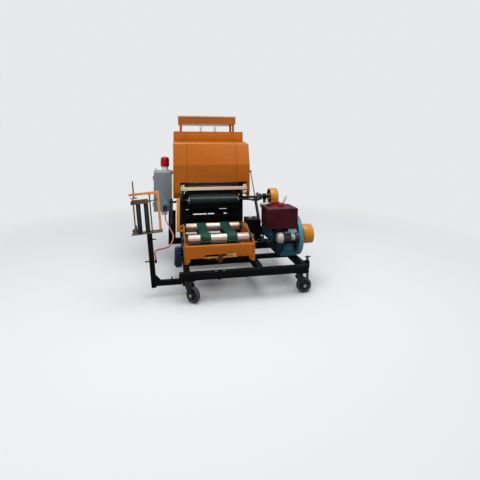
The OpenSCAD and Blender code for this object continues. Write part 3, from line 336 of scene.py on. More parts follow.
def wear_group():
    """Paint with faint unevenness, dust on what faces up and chips along its edges, as a group of nodes."""
    group, given, made = new_cover(
        "worn_paint", ("Paint", "Color"), ("Bare", "Color"), ("Dust", "Color"), ("Dust amount", "Float"),
        ("Chips", "Float"), ("Edge", "Float", 0.003), ("Unevenness", "Float"), ("Gloss", "Float"))
    place = put(group, "ShaderNodeTexCoord").outputs

    def noise(scale, detail, rough=0.55):
        return clouds(group, place["Object"], scale, detail, rough)

    def times(a, b, clamp=False):
        return reckoned(group, "MULTIPLY", a, b, clamp)

    def plus(a, b, clamp=False):
        return reckoned(group, "ADD", a, b, clamp)

    # Uneven colour: cloudy over a hand's width, finer within it
    cloud = plus(times(noise(3.1, 4), 0.65), times(noise(21, 3), 0.35))
    uneven = times(ranged(group, cloud, 0.35, 0.65, -1, 1), given["Unevenness"])
    light = put(group, "ShaderNodeHueSaturation", {"Color": given["Paint"], "Value": plus(1.0, uneven)})
    # Dust lies on faces that look up, in clouds and specks
    facing = put(group, "ShaderNodeSeparateXYZ", {"Vector": place["Normal"]})
    up = ranged(group, facing.outputs["Z"], 0.15, 0.95, 0.1, 1.0)
    settled = times(up, ranged(group, noise(5.5, 6, 0.65), 0.36, 0.66))
    dusty = times(settled, given["Dust amount"], clamp=True)
    # Chips where an edge is rounded
    soft = put(group, "ShaderNodeBevel", {"Radius": given["Edge"]}, samples=3).outputs["Normal"]
    face = put(group, "ShaderNodeNewGeometry").outputs["Normal"]
    dot = put(group, "ShaderNodeVectorMath", {0: soft, 1: face}, operation="DOT_PRODUCT").outputs["Value"]
    rubbed = times(times(ranged(group, dot, 0.995, 0.86), noise(46, 4, 0.7)), given["Chips"])
    chip = ranged(group, rubbed, 0.32, 0.42)
    chipped = mixed(group, chip, light.outputs["Color"], given["Bare"])
    rough = plus(given["Gloss"], times(ranged(group, noise(13, 5), 0.3, 0.7, -0.5, 0.5), 0.18))
    dull = plus(times(dusty, 0.4), times(chip, 0.2))
    relief = reckoned(group, "SUBTRACT", times(noise(160, 2), 0.25), times(chip, 0.5))
    feed(group, made, {"Color": mixed(group, dusty, chipped, given["Dust"]),
                       "Roughness": plus(rough, dull, clamp=True), "Bump": relief})
    return group


def patch_group():
    """A mask that is 1 inside a box on the piece, for a part of it in another finish."""
    group, given, made = new_group("patch_mask", "ShaderNodeTree", (("Low", "Vector"), ("High", "Vector")),
                                   (("Mask", "Float"),))
    place = piece_place(group)
    inside = []
    for a, b in ((place, given["Low"]), (given["High"], place)):
        gap = put(group, "ShaderNodeVectorMath", {0: a, 1: b}, operation="SUBTRACT")
        inside += list(put(group, "ShaderNodeSeparateXYZ", {0: gap.outputs[0]}).outputs)
    least = inside[0]
    for part in inside[1:]:
        least = reckoned(group, "MINIMUM", least, part)
    feed(group, made, {"Mask": reckoned(group, "GREATER_THAN", least, 0)})
    return group


worn_paint = wear_group()
patch_mask = patch_group()


def covered(tree, shader, cover, strength, depth=0.001):
    """Joins a cover's colour, roughness and relief to a shader."""
    feed(tree, shader, {"Base Color": cover["Color"], "Roughness": cover["Roughness"]})
    emboss(tree, shader, cover["Bump"], strength, depth)


def painted(name, paint, gloss=0.35, dust=0.3, chips=0.5, bare=(0.1, 0.085, 0.075), uneven=0.12, coat=0.08,
            dust_tint=(0.36, 0.32, 0.27), bump=0.15, patches=(), metal=0.0, mirror=0.35, change=None):
    """A painted metal with this machine's wear. A patch is another paint, or bare metal, inside a box."""
    material, tree, shader = new_material(name)
    feed(tree, shader, {"Coat Weight": coat, "Specular IOR Level": mirror, "Metallic": metal})
    colour = (*paint, 1)
    for second, corner, far, *bare_metal in patches:
        inside = put(tree, "ShaderNodeGroup", {"Low": corner, "High": far}, node_tree=patch_mask)
        mask = inside.outputs["Mask"]
        colour = mixed(tree, mask, colour, (*second, 1))
        if bare_metal:
            feed(tree, shader, {"Metallic": mask})
    if change:
        colour = change(tree, colour)
    wear = {"Paint": colour, "Bare": (*bare, 1), "Dust": (*dust_tint, 1), "Dust amount": dust, "Chips": chips,
            "Unevenness": uneven, "Gloss": gloss}
    covered(tree, shader, put(tree, "ShaderNodeGroup", wear, node_tree=worn_paint).outputs, bump)
    return material


def dressed(node, material, rounding=0.002, turned=35, segments=2):
    """A finer copy of a CAD node, its edges rounded as folded, cast or worn metal is."""
    source = nodes[node]
    mesh = source.data.copy()
    form = bmesh.new()
    form.from_mesh(mesh)
    bmesh.ops.remove_doubles(form, verts=form.verts, dist=2e-5)
    bmesh.ops.dissolve_limit(form, angle_limit=math.radians(0.5), verts=form.verts, edges=form.edges)
    form.to_mesh(mesh)
    form.free()
    piece = finished(node + "_finish", mesh, material, source["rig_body"], rounding, turned,
                     segments)
    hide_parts(node)
    return piece


black_paint = painted("black_paint", (0.004, 0.004, 0.005), gloss=0.45, dust=0.1, chips=0.7, mirror=0.1,
                      coat=0.0, bare=(0.1, 0.055, 0.035), dust_tint=(0.09, 0.08, 0.065))
for node in ("base_frame", "cross_members", "base_brackets"):
    dressed(node, black_paint, 0.003)


def zinc_group():
    """The uneven yellow, pink and green tints of zinc plating, with its faint brushing."""
    group, given, made = new_cover("zinc_tints", ("Scale", "Float"), ("Tint", "Float"))
    place = piece_place(group)
    tints = tinted(group, clouds(group, place, given["Scale"], 3), (
        (0.3, (0.62, 0.46, 0.22)), (0.47, (0.72, 0.56, 0.42)), (0.6, (0.74, 0.5, 0.45)),
        (0.75, (0.56, 0.58, 0.36))))
    stretched = put(group, "ShaderNodeMapping", {"Vector": place, "Scale": (0.15, 1, 1)}).outputs[0]
    fine = clouds(group, stretched, 60, 5)
    feed(group, made, {"Color": mixed(group, given["Tint"], (0.6, 0.56, 0.48, 1), tints),
                       "Roughness": ranged(group, fine, 0, 1, 0.26, 0.5), "Bump": fine})
    return group


zinc_tints = zinc_group()


def plated(name, tint=0.6, scale=3.0, metal=0.75):
    """Zinc-plated steel."""
    material, tree, shader = new_material(name)
    plate = put(tree, "ShaderNodeGroup", {"Scale": scale, "Tint": tint}, node_tree=zinc_tints)
    covered(tree, shader, plate.outputs, 0.1, 0.0005)
    feed(tree, shader, {"Metallic": metal})
    return material


zinc_plate = plated("zinc_plate")


def new_shapes(name, *takes):
    """A tree of Geometry Nodes that takes sizes and a finish."""
    shape = ("Geometry", "Geometry")
    return new_group(name, "GeometryNodeTree", (shape, *takes, ("Finish", "Material")), (shape,))


def repeated(tree, given, made, points, one, turn={}, moved=None):
    """The end of a tree: one shape at each point, made real, moved if need be, and given its finish."""
    spread = put(tree, "GeometryNodeInstanceOnPoints", {"Points": points, "Instance": one, **turn})
    shape = put(tree, "GeometryNodeRealizeInstances", {"Geometry": spread.outputs["Instances"]}).outputs[0]
    if moved:
        shape = put(tree, "GeometryNodeTransform", {"Geometry": shape, **moved}).outputs[0]
    coat = put(tree, "GeometryNodeSetMaterial", {"Geometry": shape, "Material": given["Finish"]})
    feed(tree, made, {"Geometry": coat.outputs[0]})
    return tree


def bolt_rows():
    """Geometry Nodes that put a hexagon bolt head and its washer at each vertex, facing as it says."""
    tree, given, made = new_shapes("bolt_rows", ("Radius", "Float"), ("Height", "Float"))
    both = put(tree, "GeometryNodeJoinGeometry")
    # A head's sides, with its radius and height as shares of the bolt's, and a washer's
    for sides, radius, height in ((6, 1.0, 1.0), (14, 1.3, 0.25)):
        head = put(tree, "GeometryNodeMeshCylinder", {
            "Vertices": sides, "Radius": reckoned(tree, "MULTIPLY", given["Radius"], radius),
            "Depth": reckoned(tree, "MULTIPLY", given["Height"], height)})
        up = put(tree, "ShaderNodeCombineXYZ", {"Z": reckoned(tree, "MULTIPLY", given["Height"], height / 2)})
        lifted = put(tree, "GeometryNodeTransform", {"Geometry": head.outputs["Mesh"],
                                                     "Translation": up.outputs[0]})
        feed(tree, both, {"Geometry": lifted.outputs["Geometry"]})
    facing = put(tree, "GeometryNodeInputNamedAttribute", {"Name": "facing"}, data_type="FLOAT_VECTOR")
    turn = put(tree, "FunctionNodeAlignRotationToVector", {"Vector": facing.outputs["Attribute"]}, axis="Z")
    return repeated(tree, given, made, given["Geometry"], both.outputs["Geometry"],
                    {"Rotation": turn.outputs["Rotation"]})


def grown(name, tree, seeds, inputs, material, body):
    """A plain mesh piece made by a tree of Geometry Nodes from a seed mesh and named inputs."""
    piece = bpy.data.objects.new(name, seeds)
    bpy.context.scene.collection.objects.link(piece)
    maker = piece.modifiers.new("maker", "NODES")
    maker.node_group = tree
    values = {**inputs, "Finish": material}
    for socket in tree.interface.items_tree:
        if socket.in_out == "INPUT" and socket.name in values:
            maker[socket.identifier] = values[socket.name]
    depsgraph = bpy.context.evaluated_depsgraph_get()
    mesh = bpy.data.meshes.new_from_object(piece.evaluated_get(depsgraph), depsgraph=depsgraph)
    piece.modifiers.remove(maker)
    piece.data = mesh
    mesh.shade_smooth()
    mesh.set_sharp_from_angle(angle=math.radians(32))
    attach(piece, body)


bolt_tree = bolt_rows()


def bolts(name, spots, radius, height, body="chassis", material=zinc_plate):
    """Bolt heads at spots, each a place and the way it faces."""
    seeds = bpy.data.meshes.new(name)
    seeds.from_pydata([place for place, facing in spots], [], [])
    facing = seeds.attributes.new("facing", "FLOAT_VECTOR", "POINT")
    for entry, (place, way) in zip(facing.data, spots):
        entry.vector = way
    grown(name, bolt_tree, seeds, {"Radius": radius, "Height": height}, material, body)


LEFT, RIGHT = Vector((-1, 0, 0)), Vector((1, 0, 0))
FRONT, BACK = Vector((0, -1, 0)), Vector((0, 1, 0))
UP, DOWN = Vector((0, 0, 1)), Vector((0, 0, -1))
base_spots = [(at(x, -420 + y, 300), UP) for x in (-74, 9) for y in (-18, 18)]
base_spots += [(at(-400, -200 + y, 132 + z), LEFT) for y in (-34, 34) for z in (-22, 46)]
base_spots += [(at(880 + x, 1250 + y, 310), UP) for x in (-20, 20) for y in (-70, 70)]
bolts("base_bolts", base_spots, 0.0085, 0.007)


def add_turned(form, section, centre, axis, steps=32, loop=False):
    """A solid turned about an axis: its section is radius and height. An open one gets flat ends."""
    turn = axis.to_track_quat("Z", "Y").to_matrix()
    rings = []
    for radius, height in section:
        around = [2 * math.pi * k / steps for k in range(steps)]
        spots = [Vector((radius * math.cos(t), radius * math.sin(t), height)) for t in around]
        rings.append([form.verts.new(centre + turn @ spot) for spot in spots])
    add_skin(form, rings, loop)


def add_block(form, corner, far):
    """A block between two corners."""
    corner, far = Vector(corner), Vector(far)
    middle, size = (corner + far) / 2, far - corner
    shape = Matrix.Translation(middle) @ Matrix.Diagonal((abs(size.x), abs(size.y), abs(size.z), 1))
    bmesh.ops.create_cube(form, size=1, matrix=shape)


def add_prism(form, outline, first, second):
    """A straight prism: an outline of points, shifted by a first and a second vector to make its ends."""
    add_skin(form, [[form.verts.new(point + shift) for point in outline] for shift in (first, second)])


# Weld beads: seams where cross members and baler posts meet the rails, laid by hand in short ripples.
# They are steel under the same black paint, as is the turned jacking pad under the front beam.
bead_r, bead_pitch = 0.005, 0.0045


def add_bead(form, start, end):
    """A rippled weld bead from start to end."""
    count = max(2, round((end - start).length / bead_pitch))
    rings, across = [], (end - start).orthogonal().normalized()
    other = (end - start).normalized().cross(across)
    turns = [math.pi * t / 4 for t in range(8)]
    for k in range(count + 1):
        r = bead_r * (0.8 if k % 2 else 1.05) * (0.3 if k in (0, count) else 1)
        rings.append(ring_of(form, start.lerp(end, k / count), r, across, other, turns))
    add_skin(form, rings)


welds = bmesh.new()
main_rails, engine_rails = (-332, 368), (428, 850)
for y in (-30, 30, 480, 540, 680, 740, 1060, 1120, 1530, 1590):
    for x in main_rails:
        add_bead(welds, at(x, y, 230), at(x, y, 296))
        add_bead(welds, at(x - 12, y, 299), at(x + 12, y, 299))
for y in (480, 540, 1390, 1450):
    for x in engine_rails:
        add_bead(welds, at(x, y, 230), at(x, y, 296))
for x in (-332, -392, 368, 428):
    for y in (680, 740, 1530, 1590):
        add_bead(welds, at(x, y - 0.5, 300), at(x, y - 0.5, 308))
    add_bead(welds, at(x, 682, 301), at(x, 738, 301))
piece_from(welds, "weld_beads", black_paint)
pad = bmesh.new()
pad_section = [(0.02, 0), (0.02, 0.006), (0.014, 0.009), (0.014, 0.018), (0.011, 0.021)]
add_turned(pad, pad_section, at(-38, -432, 230.5), DOWN, 24)
piece_from(pad, "jacking_pad", black_paint, 0.001)

# Casters: pressed forks painted black, each with a grey rubber tyre on a black hub and a plated axle bolt.
# Their top plates are bolted under the frame.
caster_black = painted("caster_black", (0.012, 0.012, 0.013), gloss=0.35, dust=0.4, chips=0.7)
joints = {joint["name"]: joint for joint in frame["joints"]}
nut_out, plate_bolt = 0.0415, 0.044


def from_centre(tree, centre):
    """Each point's place on the piece, measured from a centre."""
    return put(tree, "ShaderNodeMapping", {"Vector": piece_place(tree), "Location": -centre}).outputs[0]


for corner in ("front_left", "front_right", "rear_left", "rear_right"):
    dressed("fork_" + corner, caster_black, 0.0012)
    low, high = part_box("wheel_" + corner)
    hub = (low + high) / 2
    tyre, tree, shader = new_material("tyre_" + corner)
    rubber = ranged(tree, length_of(tree, from_centre(tree, hub)), 0.0545, 0.0565)
    scuff = clouds(tree, piece_place(tree), 45, 6)
    grey = tinted(tree, scuff, ((0.35, (0.032, 0.031, 0.03)), (0.7, (0.085, 0.08, 0.073))))
    feed(tree, shader, {"Base Color": mixed(tree, rubber, (0.014, 0.014, 0.015, 1), grey), "Roughness": 0.62})
    emboss(tree, shader, scuff, 0.3)
    dressed("wheel_" + corner, tyre, 0.0015, 30)
    axle = Vector(joints["roll_" + corner]["axis"])
    bolts("axle_nuts_" + corner, [(hub + axle * nut_out * s, axle * s) for s in (-1, 1)], 0.013, 0.008,
          "caster_" + corner)
    plate_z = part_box("fork_" + corner)[1].z + 0.0003
    swivel = Vector(joints["swivel_" + corner]["pos_m"])
    heads = [((swivel.x + x, swivel.y + y, plate_z), DOWN) for x in (-plate_bolt, plate_bolt)
             for y in (-plate_bolt, plate_bolt)]
    bolts("plate_bolts_" + corner, heads, 0.0065, 0.005)

# Levelling leg: a threaded steel rod in a welded sleeve, with a foot and a bar to turn it.
# It carries the engine's corner when the machine stands to work.
leg_steel, tree, shader = new_material("leg_steel")
place = piece_place(tree)
rusty = tinted(tree, clouds(tree, place, 30), ((0.4, (0.03, 0.028, 0.026)), (0.7, (0.11, 0.075, 0.05))))
feed(tree, shader, {"Base Color": rusty, "Metallic": 0.6, "Roughness": 0.45})
emboss(tree, shader, waves(tree, place, "Z", 62), 0.6, 0.002)
dressed("levelling_leg", leg_steel, 0.001)

# Turntable bearing: a turned steel housing bolted to the cross member, its ring of bolts round the base.
# The table's hub turns on its spindle.
dressed("table_bearing", black_paint, 0.0015)
low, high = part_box("table_bearing")
ring_r, ring_z = 0.122, 0.012
ring_middle = Vector(((low.x + high.x) / 2, (low.y + high.y) / 2, low.z + ring_z))
ring = [Vector((math.cos(math.radians(a)), math.sin(math.radians(a)), 0)) * ring_r for a in range(0, 360, 45)]
bolts("bearing_bolts", [(ring_middle + r, UP) for r in ring], 0.009, 0.007)

# Gearmotor: a blue electric motor with cast cooling fins, upright on a dark green worm gearbox.
# It is bolted to the outer face of the left rail and drives the table by a chain below.
low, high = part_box("gearmotor")
shell_z, cowl_z = 0.228, 0.345
gear_green = ((0.01, 0.035, 0.025), (low.x - 0.1, low.y - 0.1, 0.0),
              (high.x + 0.1, high.y + 0.1, shell_z - 0.004))
gear_blue = painted("gear_blue", (0.008, 0.028, 0.11), gloss=0.36, dust=0.35, chips=0.4, patches=[gear_green])
dressed("gearmotor", gear_blue, 0.002)
motor_r = 0.044
motor = Vector((high.x - motor_r - 0.0003, at(0, 248, 0).y, 0))


def fin_rings():
    """Geometry Nodes that stand flat fins round a circle, each pointing out from the middle."""
    tree, given, made = new_shapes("fin_rings", ("Count", "Int"), ("Radius", "Float"), ("Fin", "Vector"),
                                   ("Middle", "Vector"), ("Turn", "Vector"))
    circle = put(tree, "GeometryNodeMeshCircle", {"Vertices": given["Count"], "Radius": given["Radius"]})
    fin = put(tree, "GeometryNodeMeshCube", {"Size": given["Fin"]})
    spot = put(tree, "GeometryNodeInputPosition").outputs["Position"]
    turn = put(tree, "FunctionNodeAlignRotationToVector", {"Vector": spot}, axis="X").outputs["Rotation"]
    return repeated(tree, given, made, circle.outputs["Mesh"], fin.outputs["Mesh"], {"Rotation": turn},
                    {"Translation": given["Middle"], "Rotation": given["Turn"]})


fin_sizes = {"Count": 26, "Radius": motor_r, "Fin": (0.008, 0.0022, cowl_z - shell_z - 0.01),
             "Middle": (motor.x, motor.y, (shell_z + cowl_z) / 2), "Turn": (0, 0, 0)}
grown("motor_fins", fin_rings(), bpy.data.meshes.new("motor_fins"), fin_sizes, gear_blue,
      "chassis")
extras = bmesh.new()
add_block(extras, (motor.x - 0.026, motor.y - 0.07, 0.262), (motor.x + 0.026, motor.y - 0.04, 0.318))
add_turned(extras, [(0.006, 0), (0.006, 0.012), (0.0045, 0.014), (0.0045, 0.02)],
           Vector((motor.x, motor.y - 0.055, 0.262)), DOWN, 12)
piece_from(extras, "motor_terminal_box", gear_blue, 0.0015)

# Wrapping table: two side arms, a folded front beam with feet and a rear beam, welded and painted orange.
# Plated bolts hold the front beam's right end, and each roller runs in a green cast bearing on its ear.
orange_dust = (0.5, 0.25, 0.1)
sheet_bare = (0.16, 0.1, 0.07)
low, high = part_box("table_frame")
beam_mid = (low.x + high.x) / 2
# The centre leg in the beam's notch is painted dark brown: rust, and painted shade under the beam.
rust_and_shade = ((0.075, 0.028, 0.012), (beam_mid - 0.03, low.y - 0.01, 0.3), (beam_mid + 0.03, low.y + 0.01, 0.462))
orange_paint = painted("orange_paint", (0.5, 0.128, 0.002), gloss=0.36, dust=0.22, chips=0.35,
                       bare=sheet_bare, dust_tint=orange_dust, uneven=0.08, coat=0.03, mirror=0.2,
                       patches=[rust_and_shade])
light_orange = painted("light_orange", (0.88, 0.32, 0.04), gloss=0.34, dust=0.12, chips=0.3,
                       dust_tint=orange_dust, uneven=0.06)
dressed("table_frame", orange_paint, 0.0016)
dressed("guard_post", light_orange, 0.003)
bolts("table_bolts", [((high.x - 0.018, low.y, z), FRONT) for z in (0.475, 0.522)], 0.005, 0.004, "table",
      black_paint)
# The lip and the small upright bracket take the lighter orange: worn paint, and a painted highlight on their
# lit edges.
lip = bmesh.new()
for x0, x1 in ((-0.172, -0.024), (0.024, 0.172)):
    add_block(lip, (beam_mid + x0, low.y, 0.426), (beam_mid + x1, low.y + 0.04, 0.433))
add_block(lip, (beam_mid + 0.13, low.y - 0.003, 0.43), (beam_mid + 0.158, low.y + 0.003, 0.468))
piece_from(lip, "beam_lip", light_orange, 0.0012, "table")
cast_green = painted("cast_green", (0.006, 0.035, 0.024), gloss=0.42, dust=0.15, chips=0.4, mirror=0.2)
inner_ring = [(0.0165, 0.0), (0.044, 0.0), (0.044, 0.009), (0.031, 0.012), (0.027, 0.024), (0.0165, 0.024)]
outer_ring = [(0.017, 0.0), (0.03, 0.0), (0.031, 0.018), (0.026, 0.024), (0.017, 0.024)]
outer_foot = [(-0.046, -0.046), (0.046, -0.046), (0.046, -0.032), (0.027, -0.018), (-0.027, -0.018),
              (-0.046, -0.032)]
ear_in, ear_out = 0.35, 0.361
housings = bmesh.new()
housing_spots = []
for roller in ("front", "rear"):
    middle = Vector(joints["table_roll_" + roller]["pos_m"])
    for side, way in ((-1, RIGHT), (1, LEFT)):
        inner = middle + RIGHT * side * ear_in
        add_turned(housings, inner_ring, inner, way, 28, True)
        housing_spots += [(inner + way * 0.009 + BACK * y, way) for y in (-0.033, 0.033)]
        # The bearing's body and its foot, outside the ear
        outer = middle + RIGHT * side * ear_out
        add_turned(housings, outer_ring, outer, -way, 28, True)
        add_prism(housings, [outer + Vector((0, y, z)) for y, z in outer_foot], Vector(), -way * 0.02)
        housing_spots += [(outer - way * 0.01 + Vector((0, y, -0.033)), UP) for y in (-0.038, 0.038)]
piece_from(housings, "roller_bearings", cast_green, 0.0012, "table")
bolts("bearing_screws", housing_spots, 0.0055, 0.005, "table")

# Table rollers: steel tubes turned smooth and zinc plated, with flat ends.
# The plating shows yellow and pink tints.
roller_zinc = plated("roller_zinc", 0.55, 2.2, 0.9)
for node in ("table_roller_front", "table_roller_rear"):
    dressed(node, roller_zinc, 0.0015)

# Table belts: two endless strips of green rubber-coated cloth, woven and slack, rubbed pale in patches.
# Each is joined by a row of steel clips.


def weave_group():
    """Coated cloth: a fine square weave, dull patches where it rubs, and dirt."""
    group, given, made = new_cover("coated_cloth", ("Cloth", "Color"), ("Threads", "Float"))
    place = piece_place(group)
    weave = reckoned(group, "MULTIPLY", *[waves(group, place, way, given["Threads"]) for way in ("X", "Y")])
    rubbed = clouds(group, place, 9, 6)
    light = put(group, "ShaderNodeHueSaturation", {"Color": given["Cloth"],
                                                   "Value": ranged(group, rubbed, 0.35, 0.7, 0.75, 1.5)})
    feed(group, made, {"Color": light.outputs["Color"], "Roughness": ranged(group, rubbed, 0, 1, 0.38, 0.62),
                       "Bump": weave})
    return group


coated_cloth = weave_group()


def belting(name, cloth, threads):
    """Belt cloth in one colour."""
    material, tree, shader = new_material(name)
    weave = put(tree, "ShaderNodeGroup", {"Cloth": (*cloth, 1), "Threads": threads}, node_tree=coated_cloth)
    covered(tree, shader, weave.outputs, 0.35, 0.0008)
    feed(tree, shader, {"Specular IOR Level": 0.3})
    return material


dressed("table_belts", belting("table_belting", (0.0, 0.045, 0.03), 240), 0.0008)


def block_rows():
    """Geometry Nodes that lay a straight row of small blocks."""
    tree, given, made = new_shapes("block_rows", ("Count", "Int"), ("Start", "Vector"), ("Step", "Vector"),
                                   ("Block", "Vector"), ("Turn", "Vector"))
    line = put(tree, "GeometryNodeMeshLine", {"Count": given["Count"], "Start Location": given["Start"],
                                              "Offset": given["Step"]})
    block = put(tree, "GeometryNodeMeshCube", {"Size": given["Block"]}).outputs["Mesh"]
    turned = put(tree, "GeometryNodeTransform", {"Geometry": block, "Rotation": given["Turn"]})
    return repeated(tree, given, made, line.outputs["Mesh"], turned.outputs["Geometry"])


row_tree = block_rows()


def row(name, count, start, step, block, material, body, turn=(0, 0, 0)):
    """A row of like blocks."""
    sizes = {"Count": count, "Start": start, "Step": step, "Block": block, "Turn": turn}
    grown(name, row_tree, bpy.data.meshes.new(name), sizes, material, body)


low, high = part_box("table_belts")
clip_step = (0.0125, 0, 0)
for side, x in (("left", low.x + 0.006), ("right", high.x - 0.106)):
    row("belt_clips_" + side, 9, (x, low.y + 0.0032, (low.z + high.z) / 2 - 0.004), clip_step,
        (0.008, 0.003, 0.016), zinc_plate, "table")

# Film stand: an arm and a leaning post of square tube, black, with two clamp screws and a gusset at the foot.
# On its top a plated head holds the stretcher rollers under their gear case, and an orange bar bends over it.
dressed("film_stand", black_paint, 0.003)
head_steel = painted("head_steel", (0.12, 0.08, 0.042), gloss=0.45, dust=0.3, chips=0.5, metal=0.35,
                     uneven=0.6, bare=(0.3, 0.28, 0.22), dust_tint=(0.17, 0.14, 0.09))
dressed("film_head", head_steel, 0.0012)
low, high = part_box("film_bar")
bar_end = ((0.16, 0.155, 0.13), (low.x - 0.01, at(0, -168, 0).y, 0.7),
           (low.x + 0.2, high.y + 0.01, high.z + 0.1), True)
bar_orange = painted("bar_orange", (0.86, 0.34, 0.09), gloss=0.36, dust=0.2, chips=0.4, dust_tint=orange_dust,
                     patches=[bar_end])
dressed("film_bar", bar_orange, 0.0025)
lean = math.radians(4.9)


def on_post(x, y, z):
    """A place on the leaning film post, in millimetres from its foot."""
    across, up = math.cos(lean), math.sin(lean)
    return at(-695 + x * across - z * up, -200 + y, 132 + x * up + z * across)


# Brace from the gear case to the orange post, and the right tie rod's end hung from the bar
brace = bmesh.new()
up_post = on_post(0, 0, 1) - on_post(0, 0, 0)
for z, thick, outline in ((862, 9, ((30, -54), (36, -64), (114, -14), (108, -4))),
                          (927, 6, ((26, -66), (46, -66), (46, -8), (26, -8)))):
    add_prism(brace, [on_post(x, y, z) for x, y in outline], Vector(), up_post * thick)
add_turned(brace, [(0.007, 0), (0.007, 0.036)], on_post(36, -55, 896), up_post, 16)
piece_from(brace, "head_brace", head_steel, 0.001)
rubber, tree, shader = new_material("stretcher_rubber")
place = piece_place(tree)
dirty = tinted(tree, clouds(tree, place, 25), ((0.4, (0.005, 0.004, 0.006)), (0.75, (0.02, 0.014, 0.016))))
feed(tree, shader, {"Base Color": dirty, "Roughness": 0.5})
emboss(tree, shader, waves(tree, place, "Z", 40), 0.4)
for node in ("stretch_roller_left", "stretch_roller_right"):
    dressed(node, rubber, 0.0015)
dressed("film_spindle", head_steel, 0.0015)

# Baler's frame: four posts and two beams of square tube under the chamber, welded and painted black.
# Brackets on it carry the door cylinders and the drive shaft's bearings.
dressed("baler_frame", black_paint, 0.003)
dressed("baler_brackets", black_paint, 0.0015)

# Guard at the feed side: one folded sheet across the rear posts with two rows of slots, black.
# It is screwed to the posts through its flanges and keeps fodder off the conveyor's drive.
guard_low, guard_high, sheet_t = 0.33, 0.8, 0.003


def add_slotted(form, xs, zs, holes, y, thick):
    """A sheet across X with rectangular holes, given as cells of the grid that xs and zs make."""
    spots = {(i, k): form.verts.new((x, y, z)) for i, x in enumerate(xs) for k, z in enumerate(zs)}
    cells = []
    for i in range(len(xs) - 1):
        for k in range(len(zs) - 1):
            if (i, k) not in holes:
                corners = ((i, k), (i + 1, k), (i + 1, k + 1), (i, k + 1))
                cells.append(form.faces.new([spots[c] for c in corners]))
    thickened = bmesh.ops.extrude_face_region(form, geom=cells, use_keep_orig=True)
    moved = [v for v in thickened["geom"] if isinstance(v, bmesh.types.BMVert)]
    bmesh.ops.translate(form, verts=moved, vec=Vector((0, thick, 0)))
    bmesh.ops.delete(form, geom=[v for v in form.verts if not v.link_faces], context="VERTS")


sheet = bmesh.new()
slot_x = [at(x, 0, 0).x for x in (-386, -300, -252, -183, 28, 48, 150, 232, 305, 418, 422, 536, 540)]
slot_z = [guard_low, 0.467, 0.497, 0.56, 0.597, guard_high]
slots = {(3, 1), (5, 1), (8, 1), (7, 3), (8, 3), (1, 3)}
add_slotted(sheet, slot_x, slot_z, slots, at(0, 1605, 0).y, sheet_t)
for x in (slot_x[0], slot_x[-1] - sheet_t):
    add_block(sheet, (x, at(0, 1590, 0).y, guard_low), (x + sheet_t, at(0, 1605.5, 0).y, guard_high))
piece_from(sheet, "feed_side_guard", black_paint, 0.0008)

# Oil tank: a welded sheet tank for the two door cylinders, black, on two feet over the bay's cross member.
# It has a filler cap with a breather and a drain plug, and a strap ties it to the baler's post.
oil = bmesh.new()
add_block(oil, at(452, 498, 316), at(632, 738, 600))
for x in (470, 590):
    add_block(oil, at(x, 496, 300), at(x + 24, 538, 318))
add_block(oil, at(428, 700, 430), at(470, 736, 438))
piece_from(oil, "oil_tank", black_paint, 0.006)
fittings = bmesh.new()
filler = [(0.02, 0), (0.02, 0.008), (0.027, 0.012), (0.027, 0.03), (0.02, 0.036)]
drain = [(0.009, 0), (0.009, 0.008), (0.012, 0.008), (0.012, 0.016)]
breather = [(0.016, 0), (0.016, 0.01), (0.012, 0.012), (0.012, 0.03)]
for section, spot, way, steps in ((filler, at(500, 560, 599), UP, 24), (drain, at(600, 497, 345), FRONT, 6),
                                  (breather, at(590, 600, 599), UP, 20)):
    add_turned(fittings, section, spot, way, steps)
piece_from(fittings, "oil_tank_fittings", zinc_plate, 0.001, turned=40)

# Chamber: two inner side walls and the ring of plated rollers that turn the bale.
# The fixed half stands on the beams, with the feed rotor behind it.
inner_orange = painted("inner_orange", (0.4, 0.12, 0.006), gloss=0.45, dust=0.35, chips=0.3,
                       dust_tint=orange_dust)
dressed("chamber_walls", inner_orange, 0.001)
bar_zinc = plated("bar_zinc", 0.5, 4.0, 0.7)
dressed("chamber_rollers", bar_zinc, 0.0012)


def eased(piece, joint_name, by=5e-5):
    """Takes a running clearance off a turning piece, so that its shaft has air in its bearings."""
    centre, axis = Vector(joints[joint_name]["pos_m"]), Vector(joints[joint_name]["axis"])
    for v in piece.data.vertices:
        arm = v.co - centre
        arm -= axis * arm.dot(axis)
        if arm.length > 0.001:
            v.co -= arm.normalized() * by


eased(dressed("feed_rotor", bar_zinc, 0.0012), "rotor_turn")

# Covers and hood: folded sheet steel of 4 mm over the chains and the chamber, painted orange.
# Seams, rows of small screws and the door's hinges break up the sheets.
sheet_colour = (0.5, 0.122, 0.001)
sheet_wear = {"gloss": 0.36, "dust": 0.1, "chips": 0.25, "dust_tint": orange_dust, "bare": sheet_bare,
              "uneven": 0.06, "coat": 0.03, "mirror": 0.22}
sheet_orange = painted("sheet_orange", sheet_colour, **sheet_wear)
dressed("drive_covers", sheet_orange, 0.0012)
dressed("upper_hood", sheet_orange, 0.0015)
seam_dark = painted("seam_dark", (0.11, 0.028, 0.002), gloss=0.5, dust=0.1, chips=0.0)
seam_w, seam_proud, seam_deep = 0.0035, 0.0006, 0.002
seam_x = (-0.335, 0.333)


def add_seam(form, x, outline):
    """A narrow line along an outline of the sheet in the YZ plane, at one X."""
    for a, b in zip(outline, outline[1:]):
        along = (b - a).normalized()
        out = Vector((0, -along.z, along.y))
        if out.y > 0.001 or (abs(out.y) < 0.001 and out.z < 0):
            out = -out
        corners = [a - out * seam_deep, b - out * seam_deep, b + out * seam_proud, a + out * seam_proud]
        add_prism(form, [Vector((x, p.y, p.z)) for p in corners], LEFT * seam_w / 2, RIGHT * seam_w / 2)


